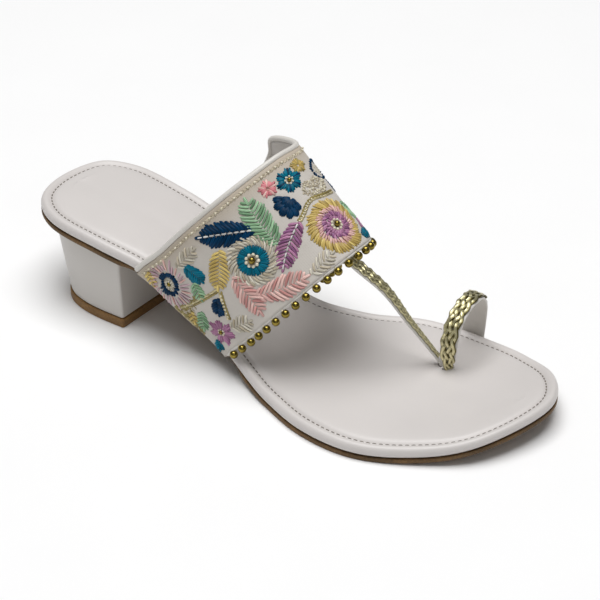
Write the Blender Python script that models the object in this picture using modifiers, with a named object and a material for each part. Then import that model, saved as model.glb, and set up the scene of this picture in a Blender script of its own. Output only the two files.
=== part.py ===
"""Block-heel slide sandal with an embroidered instep band, a toe ring and a centre strap; the right shoe."""

import bmesh
import bpy
import numpy as np
from mathutils import Matrix

# Sizes are in millimetres. X runs from heel to toe, +Y to the big-toe side, Z up from the floor.
MM = 0.001
GAP = 0.3
SOLE_LENGTH = 240.0
SIDE_POINTS = 40
OUTSOLE_THICK = 1.8
WAIST_INSET = 1.4
HEEL_BACK_Y = 1.0
TOE_TIP_Y = 11.1

HEEL_BREAST_X = 56.9
HEEL_CENTRE_Y = -0.6
HEEL_CORNER_R = 1.2
HEEL_SQUARENESS = 3.0
TIP_THICK = 3.9

BAND_THICK = 1.8
BAND_CLEAR = 0.6
BAND_TUCK = 9.0
BAND_BACK_X = 66.0
BAND_FRONT_X = 113.8
BAND_TRIM = 0.048
BACK_LEAN = 0.88
FRONT_LEAN = 0.79
FRONT_INNER = -4.5
BAND_COLUMNS = 12
PIPING_R = 1.0
BEAD_R = 1.75
BEAD_PITCH = 5.4
CORD_R = 0.45

STRIP_THICK = 1.1
BRAID_THICK = 0.7
BRAID_RELIEF = 0.4
BRAID_PITCH = 2.8
RING_BRAID_HALF = 3.1
CENTRE_HALF = 2.8
CENTRE_BRAID_HALF = 2.1
BRAID_BORDER = 0.6

# Sole outline: share of the length, outer half-width, inner half-width.
OUTLINE = (
    (0.020, 17.1, 22.6),
    (0.080, 28.0, 29.8),
    (0.200, 30.7, 28.9),
    (0.330, 27.8, 26.2),
    (0.460, 28.6, 25.4),
    (0.580, 40.5, 34.6),
    (0.680, 49.0, 45.2),
    (0.780, 49.6, 47.0),
    (0.880, 38.6, 43.4),
    (0.955, 23.0, 33.0),
)

# Underside of the outsole: share of the length, height.
PROFILE = (
    (0.00, 37.6),
    (0.13, 35.4),
    (0.26, 30.8),
    (0.40, 13.6),
    (0.53, 1.9),
    (0.61, 0.0),
    (0.79, 0.0),
    (0.88, 1.2),
    (1.00, 7.7),
)

# Footbed section from its underside up: inset from the outline, height.
FOOTBED_SECTION = (
    (11.0, 0.0),
    (1.1, 0.0),
    (0.2, 0.8),
    (0.0, 1.9),
    (0.4, 3.1),
    (1.2, 4.0),
    (2.2, 4.35),
    (3.4, 4.05),
    (4.2, 3.6),
    (4.7, 3.25),
    (5.2, 3.6),
    (7.0, 4.35),
    (11.0, 4.8),
)
FOOTBED_DISH = 0.5

# Outsole section from its underside up: inset, height.
OUTSOLE_SECTION = ((11.0, 0.0), (0.4, 0.0), (0.0, 0.4), (0.0, 1.4), (0.4, 1.8), (11.0, 1.8))

# Heel block rings from the top down: share of the height, back point, half-width.
HEEL_RINGS = ((1.0, 9.5, 28.4), (0.72, 11.3, 28.2), (0.36, 13.7, 27.7), (0.0, 16.0, 27.2))

# Top lift section from the floor up: height, outset from the block.
TIP_SECTION = ((0.0, 0.1), (0.5, 0.5), (TIP_THICK - 0.4, 0.4), (TIP_THICK, 0.0))

# Instep band across the foot, outer side first: back edge across and height,
# front edge across and height, then the back edge's setback and the front edge's bow.
# BAND_TRIM is the share of this width that is cut off again along the back edge.
BAND_ROWS = (
    (-29.2, 44.0, -31.4, 20.5, 0.0, 0.0),
    (-26.3, 59.0, -29.4, 32.5, 0.0, 0.9),
    (-14.5, 75.5, -17.2, 49.0, 0.0, 1.7),
    (3.0, 84.9, -1.0, 57.0, 0.0, 2.2),
    (19.4, 84.2, 12.2, 55.6, 0.5, 1.4),
    (26.6, 78.6, 22.6, 49.2, 13.5, -1.8),
    (29.4, 70.5, 27.6, 41.0, 8.5, -4.0),
    (30.0, 57.0, 30.6, 30.6, 3.0, -4.7),
    (29.0, 43.0, 30.2, 20.0, 0.0, -4.5),
)
BAND_STEPS = (1, 1, 2, 1, 1, 2, 3, 4, 4, 4, 3, 3, 3, 3, 2, 1, 1, 2, 1, 1)

# Toe ring path from the slot up and over: centre x, y, z, width direction x, y, half-width.
RING_ROWS = (
    (189.8, 16.6, 2.7, 0.46, 0.89, 2.3),
    (189.8, 16.6, 7.8, 0.46, 0.89, 2.3),
    (190.2, 15.6, 12.5, 0.85, 0.50, 3.1),
    (190.5, 15.6, 18.9, 1.00, 0.10, 3.65),
    (190.3, 18.9, 26.1, 1.00, 0.00, 3.7),
    (190.0, 24.8, 30.3, 1.00, 0.00, 3.7),
    (189.7, 32.2, 31.5, 1.00, 0.00, 3.7),
    (188.4, 39.4, 29.0, 1.00, 0.00, 3.7),
    (186.1, 44.8, 22.6, 1.00, 0.00, 4.6),
    (183.8, 47.4, 13.0, 1.00, 0.00, 5.4),
)
RING_LEG_X = 182.9

# Centre strap below the band: centre x, y, z, width direction x, y, half-width.
CENTRE_ROWS = (
    (166.4, 4.6, 41.0, -0.10, 0.99, 2.6),
    (174.8, 9.8, 26.6, -0.38, 0.92, 2.2),
    (181.8, 14.2, 15.2, -0.52, 0.85, 1.8),
    (186.1, 16.8, 7.6, -0.58, 0.81, 1.5),
    (186.4, 16.9, 2.7, -0.58, 0.81, 1.4),
)
CENTRE_START = ((-10.0, 3.9), (-4.0, 3.9), (0.0, 4.0), (2.4, 4.5))
CENTRE_START_Y = 0.5

# Each piece's colour, roughness and metallic value.
FINISHES = {
    "outsole": ((0.30, 0.20, 0.09), 0.55, 0.0),
    "heel_tip": ((0.36, 0.24, 0.10), 0.60, 0.0),
    "heel_block": ((0.80, 0.78, 0.74), 0.40, 0.0),
    "footbed": ((0.82, 0.80, 0.77), 0.45, 0.0),
    "vamp_strap": ((0.68, 0.63, 0.55), 0.85, 0.0),
    "strap_piping": ((0.82, 0.80, 0.76), 0.40, 0.0),
    "bead_trim": ((0.50, 0.36, 0.10), 0.25, 1.0),
    "toe_ring": ((0.82, 0.80, 0.76), 0.45, 0.0),
    "toe_ring_braid": ((0.45, 0.38, 0.12), 0.35, 0.9),
    "centre_strap": ((0.82, 0.80, 0.76), 0.45, 0.0),
    "centre_strap_braid": ((0.45, 0.38, 0.12), 0.35, 0.9),
}


def unit(vectors):
    """Vectors scaled to length one."""
    vectors = np.asarray(vectors, float)
    return vectors / np.linalg.norm(vectors, axis=-1, keepdims=True)


def catmull(points, steps, closed=False):
    """Centripetal curve through points, with each span cut into its number of steps."""
    points = np.asarray(points, float)
    if closed:
        points = np.vstack([points[-1], points, points[:2]])
    spans = np.sqrt(np.linalg.norm(np.diff(points, axis=0), axis=1))
    chord = np.diff(points, axis=0) / spans[:, None]
    pair = (points[2:] - points[:-2]) / (spans[:-1] + spans[1:])[:, None]
    tangents = np.vstack([chord[:1], chord[:-1] - pair + chord[1:], chord[-1:]])
    first = 1 if closed else 0
    last = len(points) - 2 if closed else len(points) - 1
    counts = [steps] * (last - first) if np.isscalar(steps) else steps
    found = []
    for i, count in zip(range(first, last), counts):
        t = (np.arange(count) / count)[:, None]
        a, b = points[i], points[i + 1]
        ma, mb = tangents[i] * spans[i], tangents[i + 1] * spans[i]
        found.append(
            (2 * t**3 - 3 * t**2 + 1) * a
            + (t**3 - 2 * t**2 + t) * ma
            + (3 * t**2 - 2 * t**3) * b
            + (t**3 - t**2) * mb
        )
    if not closed:
        found.append(points[last : last + 1])
    return np.vstack(found)


def by_length(points, count):
    """The polyline with its points spread evenly along its length."""
    along = np.r_[0, np.cumsum(np.linalg.norm(np.diff(points, axis=0), axis=1))]
    at = np.linspace(0, along[-1], count)
    return np.stack([np.interp(at, along, points[:, k]) for k in range(points.shape[1])], 1)


def monotone(table):
    """A smooth function through a two-column table that adds no bumps of its own."""
    x, y = np.array(table, float).T
    h = np.diff(x)
    slope = np.diff(y) / h
    m = np.zeros(len(x))
    for i in range(1, len(x) - 1):
        if slope[i - 1] * slope[i] > 0:
            w1, w2 = 2 * h[i] + h[i - 1], h[i] + 2 * h[i - 1]
            m[i] = (w1 + w2) / (w1 / slope[i - 1] + w2 / slope[i])
    m[0], m[-1] = slope[0], slope[-1]

    def value(at):
        at = np.clip(at, x[0], x[-1])
        i = np.clip(np.searchsorted(x, at) - 1, 0, len(h) - 1)
        t = (at - x[i]) / h[i]
        return (
            (2 * t**3 - 3 * t**2 + 1) * y[i]
            + (t**3 - 2 * t**2 + t) * h[i] * m[i]
            + (3 * t**2 - 2 * t**3) * y[i + 1]
            + (t**3 - t**2) * h[i] * m[i + 1]
        )

    return value


underside = monotone([(share * SOLE_LENGTH, z) for share, z in PROFILE])


def sole_sides():
    """The outline's outer and inner sides, each from heel to toe."""
    outer = [(share * SOLE_LENGTH, -out) for share, out, _ in OUTLINE]
    inner = [(share * SOLE_LENGTH, inn) for share, _, inn in OUTLINE]
    loop = [(0, HEEL_BACK_Y), *outer, (SOLE_LENGTH, TOE_TIP_Y), *inner[::-1]]
    dense = catmull(loop, 12, closed=True)
    toe = 12 * (len(outer) + 1)
    return dense[: toe + 1], np.vstack([dense[toe:], dense[:1]])[::-1]


OUTER_SIDE, INNER_SIDE = sole_sides()


def sole_ring():
    """One closed outline: heel point, outer side, toe point, inner side."""
    outer = by_length(OUTER_SIDE, SIDE_POINTS + 1)
    inner = by_length(INNER_SIDE, SIDE_POINTS + 1)
    return np.vstack([outer, inner[-2:0:-1]])


SOLE_RING = sole_ring()
INWARD = unit(np.roll(SOLE_RING, -1, 0) - np.roll(SOLE_RING, 1, 0))[:, ::-1] * (-1, 1)


def edge_y(x, side):
    """Y of the sole's edge at x, on the outer (-1) or inner (+1) side."""
    line = OUTER_SIDE if side < 0 else INNER_SIDE
    middle = line[(line[:, 0] > 0.1 * SOLE_LENGTH) & (line[:, 0] < 0.9 * SOLE_LENGTH)]
    return np.interp(x, middle[:, 0], middle[:, 1])


def waist(x):
    """One under the instep band and nought at heel and ball, for the narrower outsole there."""
    rise = np.clip((x - BAND_BACK_X + 9) / 8, 0, 1)
    fall = np.clip((BAND_FRONT_X + 11 - x) / 8, 0, 1)
    return rise * rise * (3 - 2 * rise) * fall * fall * (3 - 2 * fall)


def level_ring(inset, height, lift, narrower=0.0):
    """The outline moved in by inset, at a height above the underside plus lift."""
    inset = inset + narrower * waist(SOLE_RING[:, 0])
    flat = SOLE_RING + INWARD * inset[:, None]
    return np.c_[flat, underside(flat[:, 0]) + lift + height]


def new_object(name, verts, faces, where):
    """A mesh object with outward faces, from points in millimetres."""
    mesh = bpy.data.meshes.new(name)
    mesh.from_pydata((np.asarray(verts) * MM).tolist(), [], faces)
    work = bmesh.new()
    work.from_mesh(mesh)
    bmesh.ops.recalc_face_normals(work, faces=work.faces)
    work.to_mesh(mesh)
    work.free()
    obj = bpy.data.objects.new(name, mesh)
    where.objects.link(obj)
    return obj


def cap(ring, first, verts, across, height):
    """Faces that close a ring from its outer to its inner side, through new points between."""
    count = len(ring)
    half = count // 2
    rows = [[first]]
    for i in range(1, half):
        a, b = ring[i], ring[count - i]
        row = [first + i]
        for k in range(1, across):
            p = a + (b - a) * k / across
            verts.append((p[0], p[1], height(p[0], p[1], 4 * k * (across - k) / across**2)))
            row.append(len(verts) - 1)
        rows.append([*row, first + count - i])
    rows.append([first + half])
    faces = []
    for low, high in zip(rows, rows[1:]):
        for k in range(across):
            corners = [low[min(k, len(low) - 1)], high[min(k, len(high) - 1)]]
            corners += [high[min(k + 1, len(high) - 1)], low[min(k + 1, len(low) - 1)]]
            faces.append(list(dict.fromkeys(corners)))
    return [face for face in faces if len(face) > 2]


def ring_solid(name, rings, across, bottom, top, where):
    """A solid from a stack of rings, closed by a bottom and a top surface."""
    count = len(rings[0])
    verts = [tuple(p) for ring in rings for p in ring]
    faces = []
    for level in range(len(rings) - 1):
        for i in range(count):
            a, b = level * count + i, level * count + (i + 1) % count
            faces.append([a, b, b + count, a + count])
    faces += cap(rings[0], 0, verts, across, bottom)
    faces += cap(rings[-1], (len(rings) - 1) * count, verts, across, top)
    return new_object(name, verts, faces, where)


def heel_ring(back, half_width, breast=HEEL_BREAST_X):
    """D-shaped ring: back point, round outer side and corner, breast middle, inner side."""
    turn = np.linspace(0, np.pi / 2, 13)[:-1]
    power = 2 / HEEL_SQUARENESS
    reach = (breast - HEEL_CORNER_R - back) * np.cos(turn) ** power
    side = np.c_[breast - HEEL_CORNER_R - reach, -half_width * np.sin(turn) ** power]
    bend = np.linspace(0, np.pi / 2, 5)
    corner = np.c_[
        breast - HEEL_CORNER_R + HEEL_CORNER_R * np.sin(bend),
        -half_width + HEEL_CORNER_R - HEEL_CORNER_R * np.cos(bend),
    ]
    front = np.c_[np.full(3, breast), np.linspace(-half_width + HEEL_CORNER_R, 0, 4)[1:]]
    outer = np.vstack([side, corner, front])
    ring = np.vstack([outer, (outer * (1, -1))[-2:0:-1]])
    return ring + (0, HEEL_CENTRE_Y)


def band_column(share):
    """Points of the band across the foot, at a share of its width from the back edge."""
    share = BAND_TRIM + (1 - BAND_TRIM) * share
    back_z = underside(BAND_BACK_X) + OUTSOLE_THICK
    front_z = underside(BAND_FRONT_X) + OUTSOLE_THICK
    lean = BACK_LEAN + (FRONT_LEAN - BACK_LEAN) * share

    def hem(side):
        front_x = BAND_FRONT_X + (FRONT_INNER if side > 0 else 0.0)
        base_x = BAND_BACK_X + (front_x - BAND_BACK_X) * share
        base_z = underside(base_x) + OUTSOLE_THICK + GAP + BAND_THICK / 2
        x_top = base_x + lean * 5.2
        wall = BAND_CLEAR + BAND_THICK / 2
        edge, edge_top = edge_y(base_x, side), edge_y(x_top, side)
        return [
            (base_x, edge - side * BAND_TUCK, base_z),
            (base_x, edge - side * 0.4, base_z),
            (base_x + 0.3, edge + side * (wall - 0.3), base_z + 0.3),
            (base_x + 1.2, edge + side * (wall + 0.1), base_z + 1.5),
            (base_x + lean * 3, edge + side * (wall + 0.15), base_z + 3.0),
            (x_top, edge_top + side * (wall + 0.2), base_z + 5.2),
        ]

    arch = []
    for back_y, back_h, front_y, front_h, setback, bow in BAND_ROWS:
        back = np.array((BAND_BACK_X + BACK_LEAN * (back_h - back_z) - setback, back_y, back_h))
        front = np.array((BAND_FRONT_X + FRONT_LEAN * (front_h - front_z) + bow, front_y, front_h))
        arch.append(back + (front - back) * share)
    return catmull([*hem(-1), *arch, *hem(1)[::-1]], BAND_STEPS)


BAND = np.stack([band_column(share) for share in np.linspace(0, 1, BAND_COLUMNS + 1)], 1)


def sheet(name, grid, thick, where):
    """A wall of even thickness about a grid of points."""
    rows, columns = grid.shape[:2]
    faces = []
    for i in range(rows - 1):
        for j in range(columns - 1):
            a = i * columns + j
            faces.append([a, a + 1, a + columns + 1, a + columns])
    obj = new_object(name, grid.reshape(-1, 3), faces, where)
    wall = obj.modifiers.new("wall", "SOLIDIFY")
    wall.thickness = thick * MM
    wall.offset = 0
    wall.use_even_offset = True
    return obj


def slot_slab(name, x_range, side, depth, thick, where):
    """Clearance under the footbed's edge for a strap end that is tucked there."""
    xs = np.linspace(x_range[0], x_range[1], 9)
    verts = []
    for x in xs:
        edge = edge_y(x, side)
        low = underside(x) + OUTSOLE_THICK
        for y in (edge - side * depth, edge + side * 4):
            verts += [(x, y, low), (x, y, low + thick)]
    faces = [[0, 1, 3, 2], [len(verts) - 4, len(verts) - 2, len(verts) - 1, len(verts) - 3]]
    for i in range(len(xs) - 1):
        a = 4 * i
        for p, q in ((0, 1), (1, 3), (3, 2), (2, 0)):
            faces.append([a + p, a + q, a + 4 + q, a + 4 + p])
    return new_object(name, verts, faces, where)


def post_slot(name, row, half_thick, where):
    """A slot through the footbed for a strap end that goes down at a row's place."""
    x, y, _, wx, wy, half = row
    along = unit((wx, wy, 0.0)) * (half + GAP + 0.1)
    across = np.cross((0, 0, 1), unit((wx, wy, 0.0))) * half_thick
    floor = underside(x) + OUTSOLE_THICK
    verts = []
    for z in (floor, floor + 9):
        for p, q in ((-1, -1), (1, -1), (1, 1), (-1, 1)):
            verts.append(np.array((x, y, z)) + along * p + across * q)
    faces = [[0, 3, 2, 1], [4, 5, 6, 7]]
    faces += [[i, (i + 1) % 4, 4 + (i + 1) % 4, 4 + i] for i in range(4)]
    return new_object(name, verts, faces, where)


def cut(obj, cutter):
    """Takes a cutter out of a solid."""
    hole = obj.modifiers.new(cutter.name, "BOOLEAN")
    hole.operation = "DIFFERENCE"
    hole.solver = "EXACT"
    hole.object = cutter


def strip_frame(rows, steps):
    """Centres, tangents, width directions and half-widths along a strap."""
    rows = catmull(rows, steps)
    centre = rows[:, :3]
    tangent = unit(np.gradient(centre, axis=0))
    width = np.c_[rows[:, 3:5], np.zeros(len(rows))]
    width = unit(width - tangent * (width * tangent).sum(1)[:, None])
    return centre, tangent, width, rows[:, 5]


def strip_solid(name, frame, side, thick, offset, across, where, relief=None, half=None):
    """A flat strap swept along a frame, its outer face at a distance from the centre line."""
    centre, tangent, width, halves = frame
    halves = halves if half is None else np.minimum(halves - BRAID_BORDER, half)
    normal = np.cross(tangent, width) * side
    along = np.r_[0, np.cumsum(np.linalg.norm(np.diff(centre, axis=0), axis=1))]
    verts = []
    loop = len(across) + 2
    for i in range(len(centre)):
        low = centre[i] + normal[i] * (offset - thick / 2)
        verts += [low + width[i] * halves[i], low - width[i] * halves[i]]
        for a in across:
            lift = relief(along[i], a) if relief else 0.0
            high = centre[i] + normal[i] * (offset + thick / 2 + lift)
            verts.append(high + width[i] * halves[i] * a)
    faces = [list(range(loop)), list(range(len(verts) - 1, len(verts) - loop - 1, -1))]
    for i in range(len(centre) - 1):
        for k in range(loop):
            a, b = i * loop + k, i * loop + (k + 1) % loop
            faces.append([a, b, b + loop, a + loop])
    return new_object(name, verts, faces, where)


def even_frame(frame, start, stop, step):
    """Part of a strap's frame, from start to stop millimetres along it, in even steps."""
    centre, tangent, width, halves = frame
    along = np.r_[0, np.cumsum(np.linalg.norm(np.diff(centre, axis=0), axis=1))]
    stop = along[-1] - stop
    at = np.linspace(start, stop, int(round((stop - start) / step)) + 1)
    pick = []
    for part in (centre, tangent, width):
        pick.append(np.stack([np.interp(at, along, part[:, k]) for k in range(3)], 1))
    return pick[0], unit(pick[1]), unit(pick[2]), np.interp(at, along, halves)


def plait(along, across):
    """Height of a flat braid whose strands slope in from both edges to a middle row."""
    return BRAID_RELIEF * abs(np.cos(np.pi * (along / BRAID_PITCH - 0.8 * abs(across))))


def tube(name, path, radii, sides, where):
    """A round cord along a path, with a radius at each point."""
    curve = bpy.data.curves.new(name, "CURVE")
    curve.dimensions = "3D"
    curve.bevel_depth = MM
    curve.bevel_resolution = sides
    curve.use_fill_caps = True
    line = curve.splines.new("POLY")
    line.points.add(len(path) - 1)
    for point, place, radius in zip(line.points, path, radii):
        point.co = (*(np.asarray(place) * MM), 1)
        point.radius = radius
    obj = bpy.data.objects.new(name, curve)
    where.objects.link(obj)
    return obj


def colour(obj):
    """The node's own plain material."""
    material = bpy.data.materials.new(obj.name)
    material.use_nodes = True
    shader = material.node_tree.nodes["Principled BSDF"]
    base, roughness, metallic = FINISHES[obj.name]
    shader.inputs["Base Color"].default_value = (*base, 1)
    shader.inputs["Roughness"].default_value = roughness
    shader.inputs["Metallic"].default_value = metallic
    obj.data.materials.append(material)


for old in list(bpy.data.objects):
    bpy.data.objects.remove(old)
shoe = bpy.data.collections.new("toe_ring_slide")
helpers = bpy.data.collections.new("cutters")
bpy.context.scene.collection.children.link(shoe)
bpy.context.scene.collection.children.link(helpers)

# Outsole: one thin sheet from heel seat to toe, narrower where the band wraps under the waist.
sole_rings = [level_ring(inset, height, 0.0, WAIST_INSET) for inset, height in OUTSOLE_SECTION]
outsole = ring_solid(
    "outsole",
    sole_rings,
    4,
    lambda x, y, s: underside(x),
    lambda x, y, s: underside(x) + OUTSOLE_THICK,
    shoe,
)

# Heel block and its top lift; the block's top follows the slope of the heel seat.
block_rings = []
for share, back, half_width in HEEL_RINGS:
    flat = heel_ring(back, half_width)
    low = TIP_THICK + GAP
    block_rings.append(np.c_[flat, low + (underside(flat[:, 0]) - GAP - low) * share])
heel_block = ring_solid(
    "heel_block",
    block_rings[::-1],
    4,
    lambda x, y, s: TIP_THICK + GAP,
    lambda x, y, s: underside(x) - GAP,
    shoe,
)
_, tip_back, tip_half = HEEL_RINGS[-1]
tip_rings = []
for height, outset in TIP_SECTION:
    flat = heel_ring(tip_back - outset, tip_half + outset, HEEL_BREAST_X + outset)
    tip_rings.append(np.c_[flat, np.full(len(flat), height)])
heel_tip = ring_solid(
    "heel_tip",
    tip_rings,
    2,
    lambda x, y, s: 0.0,
    lambda x, y, s: TIP_THICK,
    shoe,
)

# Footbed: wrapped board with a rolled rim, a stitched groove and a padded top.
bed_lift = OUTSOLE_THICK + GAP
bed_rings = [level_ring(inset, height, bed_lift) for inset, height in FOOTBED_SECTION]
footbed = ring_solid(
    "footbed",
    bed_rings,
    6,
    lambda x, y, s: underside(x) + bed_lift,
    lambda x, y, s: underside(x) + bed_lift + FOOTBED_SECTION[-1][1] + 0.3 - FOOTBED_DISH * s,
    shoe,
)
tuck_room = GAP + BAND_THICK + GAP + 0.2
for side, label in ((-1, "outer"), (1, "inner")):
    front_x = BAND_FRONT_X + (FRONT_INNER if side > 0 else 0.0)
    span = (BAND_BACK_X + (front_x - BAND_BACK_X) * BAND_TRIM - 0.5, front_x + 0.5)
    cut(footbed, slot_slab("tuck_" + label, span, side, BAND_TUCK + 0.6, tuck_room, helpers))
leg_span = (RING_LEG_X - RING_ROWS[-1][5] - 0.4, RING_LEG_X + RING_ROWS[-1][5] + 0.4)
cut(footbed, slot_slab("tuck_ring", leg_span, 1, 9.0, 3 * GAP + STRIP_THICK, helpers))
cut(footbed, post_slot("slot_ring", RING_ROWS[0], STRIP_THICK / 2 + GAP + 0.1, helpers))
cut(footbed, post_slot("slot_centre", CENTRE_ROWS[-1], STRIP_THICK / 2 + 2 * GAP, helpers))

# Instep band: one wall that leans forward over the foot, its ends tucked under the footbed.
vamp_strap = sheet("vamp_strap", BAND, BAND_THICK, shoe)

# White piping along the band's back edge.
hem_rows = slice(sum(BAND_STEPS[:3]), len(BAND) - sum(BAND_STEPS[-3:]))
back_edge = BAND[hem_rows, 0]
back_out = unit(back_edge - BAND[hem_rows, 1])
piping_path = back_edge + back_out * (PIPING_R + GAP + 0.2)
strap_piping = tube("strap_piping", piping_path, np.full(len(piping_path), PIPING_R), 2, shoe)

# Beads strung along the band's front edge.
front_edge = BAND[hem_rows, -1]
front_out = unit(front_edge - BAND[hem_rows, -2])
bead_line = by_length(front_edge + front_out * (BEAD_R + GAP + 0.1), 2001)
bead_along = np.r_[0, np.cumsum(np.linalg.norm(np.diff(bead_line, axis=0), axis=1))]
bead_count = int((bead_along[-1] - 2 * BEAD_R) / BEAD_PITCH)
bead_first = (bead_along[-1] - (bead_count - 1) * BEAD_PITCH) / 2
bead_places, bead_radii = [], []
for k in range(bead_count):
    for step, share in ((-1.0, 0), (-0.72, 0.7), (0.0, 1.0), (0.72, 0.7), (1.0, 0)):
        bead_places.append(bead_first + k * BEAD_PITCH + step * BEAD_R * 0.96)
        bead_radii.append(max(CORD_R, share * BEAD_R))
bead_path = np.stack([np.interp(bead_places, bead_along, bead_line[:, k]) for k in range(3)], 1)
bead_trim = tube("bead_trim", bead_path, bead_radii, 1, shoe)

# Toe ring: slot between the toes, over the big toe, down outside the inner rim and under it.
leg_edge = edge_y(RING_LEG_X, 1)
leg_z = underside(RING_LEG_X) + OUTSOLE_THICK + GAP + STRIP_THICK / 2
leg_out = leg_edge + BAND_CLEAR + STRIP_THICK / 2
leg_half = RING_ROWS[-1][5]
ring_end = (
    (RING_LEG_X, leg_out, leg_z + 2.6, 1.0, 0.0, leg_half),
    (RING_LEG_X, leg_out + 0.05, leg_z + 1.1, 1.0, 0.0, leg_half),
    (RING_LEG_X, leg_edge - 1.2, leg_z, 1.0, 0.0, leg_half),
    (RING_LEG_X, leg_edge - 8.0, leg_z, 1.0, 0.0, leg_half),
)
ring_frame = strip_frame((*RING_ROWS, *ring_end), (2, 5, 5, 4, 4, 4, 4, 4, 4, 3, 2, 2, 2))
toe_ring = strip_solid("toe_ring", ring_frame, -1, STRIP_THICK, 0.0, (-1.0, 1.0), shoe)
braid_offset = STRIP_THICK / 2 + GAP + BRAID_THICK / 2 + 0.1
ring_braid_frame = even_frame(ring_frame, 5.6, 16.0, BRAID_PITCH / 3)
toe_ring_braid = strip_solid(
    "toe_ring_braid",
    ring_braid_frame,
    -1,
    BRAID_THICK,
    braid_offset,
    (-1.0, -0.5, 0.0, 0.5, 1.0),
    shoe,
    plait,
    RING_BRAID_HALF,
)

# Centre strap: sewn under the band's front edge, then down between the toes into its slot.
start = np.argmin(abs(BAND[:, -1, 1] - CENTRE_START_Y) + 100 * (BAND[:, -1, 2] < 40))
start_edge = BAND[start, -1]
start_on = unit(BAND[start, -1] - BAND[start, -2])
start_across = unit(BAND[start + 1, -1] - BAND[start - 1, -1])
start_up = np.cross(start_on, start_across)
centre_rows = []
for on, down in CENTRE_START:
    place = start_edge + start_on * on - start_up * down
    centre_rows.append((*place, start_across[0], start_across[1], CENTRE_HALF))
centre_frame = strip_frame((*centre_rows, *CENTRE_ROWS), (2, 2, 1, 3, 3, 3, 3, 2))
centre_strap = strip_solid("centre_strap", centre_frame, 1, STRIP_THICK, 0.0, (-1.0, 1.0), shoe)
centre_braid_frame = even_frame(centre_frame, 2.0, 9.6, BRAID_PITCH / 3)
centre_strap_braid = strip_solid(
    "centre_strap_braid",
    centre_braid_frame,
    1,
    BRAID_THICK,
    braid_offset,
    (-1.0, -0.5, 0.0, 0.5, 1.0),
    shoe,
    plait,
    CENTRE_BRAID_HALF,
)

for helper in helpers.objects:
    helper.hide_render = True
    helper.display_type = "WIRE"
for piece in shoe.objects:
    colour(piece)

# The origin goes to the middle of the whole shoe's box, on the floor.
bpy.context.view_layer.update()
graph = bpy.context.evaluated_depsgraph_get()
corners = []
for piece in shoe.objects:
    shape = piece.evaluated_get(graph).to_mesh()
    points = np.empty(len(shape.vertices) * 3)
    shape.vertices.foreach_get("co", points)
    corners += [points.reshape(-1, 3).min(0), points.reshape(-1, 3).max(0)]
middle = (np.min(corners, 0) + np.max(corners, 0)) / 2
shift = Matrix.Translation((-middle[0], -middle[1], 0.0))
for piece in [*shoe.objects, *helpers.objects]:
    piece.data.transform(shift)
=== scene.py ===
# %% [markdown]
# # A toe-ring slide with an embroidered band
# The shoe is an open slide on a low covered heel: a white padded footbed, one wide cloth band
# covered in hand embroidery, gold beads along its front edge, and two narrow straps of gold plait.
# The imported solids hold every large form. This lesson dresses them: each piece is skinned
# again from the same tables with more points, and gets the stitches, grain and gloss of the real one.

import bpy
import numpy as np
from mathutils import Matrix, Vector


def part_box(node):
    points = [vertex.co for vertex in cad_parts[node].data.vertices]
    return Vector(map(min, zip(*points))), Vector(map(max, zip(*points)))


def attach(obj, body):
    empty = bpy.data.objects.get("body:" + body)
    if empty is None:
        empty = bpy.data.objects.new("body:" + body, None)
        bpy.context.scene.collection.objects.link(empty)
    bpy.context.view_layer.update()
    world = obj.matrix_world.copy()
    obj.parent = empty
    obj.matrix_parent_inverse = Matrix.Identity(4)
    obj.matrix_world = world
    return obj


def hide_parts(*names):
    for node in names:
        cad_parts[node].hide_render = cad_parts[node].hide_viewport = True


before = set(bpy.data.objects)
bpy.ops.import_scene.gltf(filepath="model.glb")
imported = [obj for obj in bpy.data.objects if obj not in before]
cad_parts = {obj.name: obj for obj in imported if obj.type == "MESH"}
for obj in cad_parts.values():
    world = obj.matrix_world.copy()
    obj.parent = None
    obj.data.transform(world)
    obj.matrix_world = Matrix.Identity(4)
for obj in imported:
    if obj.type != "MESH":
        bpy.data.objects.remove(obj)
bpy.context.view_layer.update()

# %% [markdown]
# ## Measures
# The tables are the shoemaker's: millimetres from the back of the heel, X towards the toe, Y towards
# the big toe, Z up from the floor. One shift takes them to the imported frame, which has its origin in
# the middle of the shoe. Random numbers vary the hand stitches, so one seeded source gives them all.

# %% Units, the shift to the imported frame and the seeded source
MM = 0.001
HEEL_TO_MIDDLE = np.array((-120.0, 0.34, 0.0))
hand = np.random.default_rng(7)


def placed(points):
    """Shoemaker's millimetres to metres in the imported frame."""
    return (np.asarray(points, float) + HEEL_TO_MIDDLE) * MM


def unit(vectors):
    """Vectors scaled to length one."""
    vectors = np.asarray(vectors, float)
    return vectors / np.linalg.norm(vectors, axis=-1, keepdims=True)


low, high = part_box("footbed")
print("heel to toe in the solids:", round((high[0] - low[0]) / MM, 1), "mm")

# %% [markdown]
# ## Curves from tables
# A last is drawn from a few measured stations. A centripetal curve runs through them without loops,
# a monotone one keeps the arch from waving, and spreading points by length keeps faces even.

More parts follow.
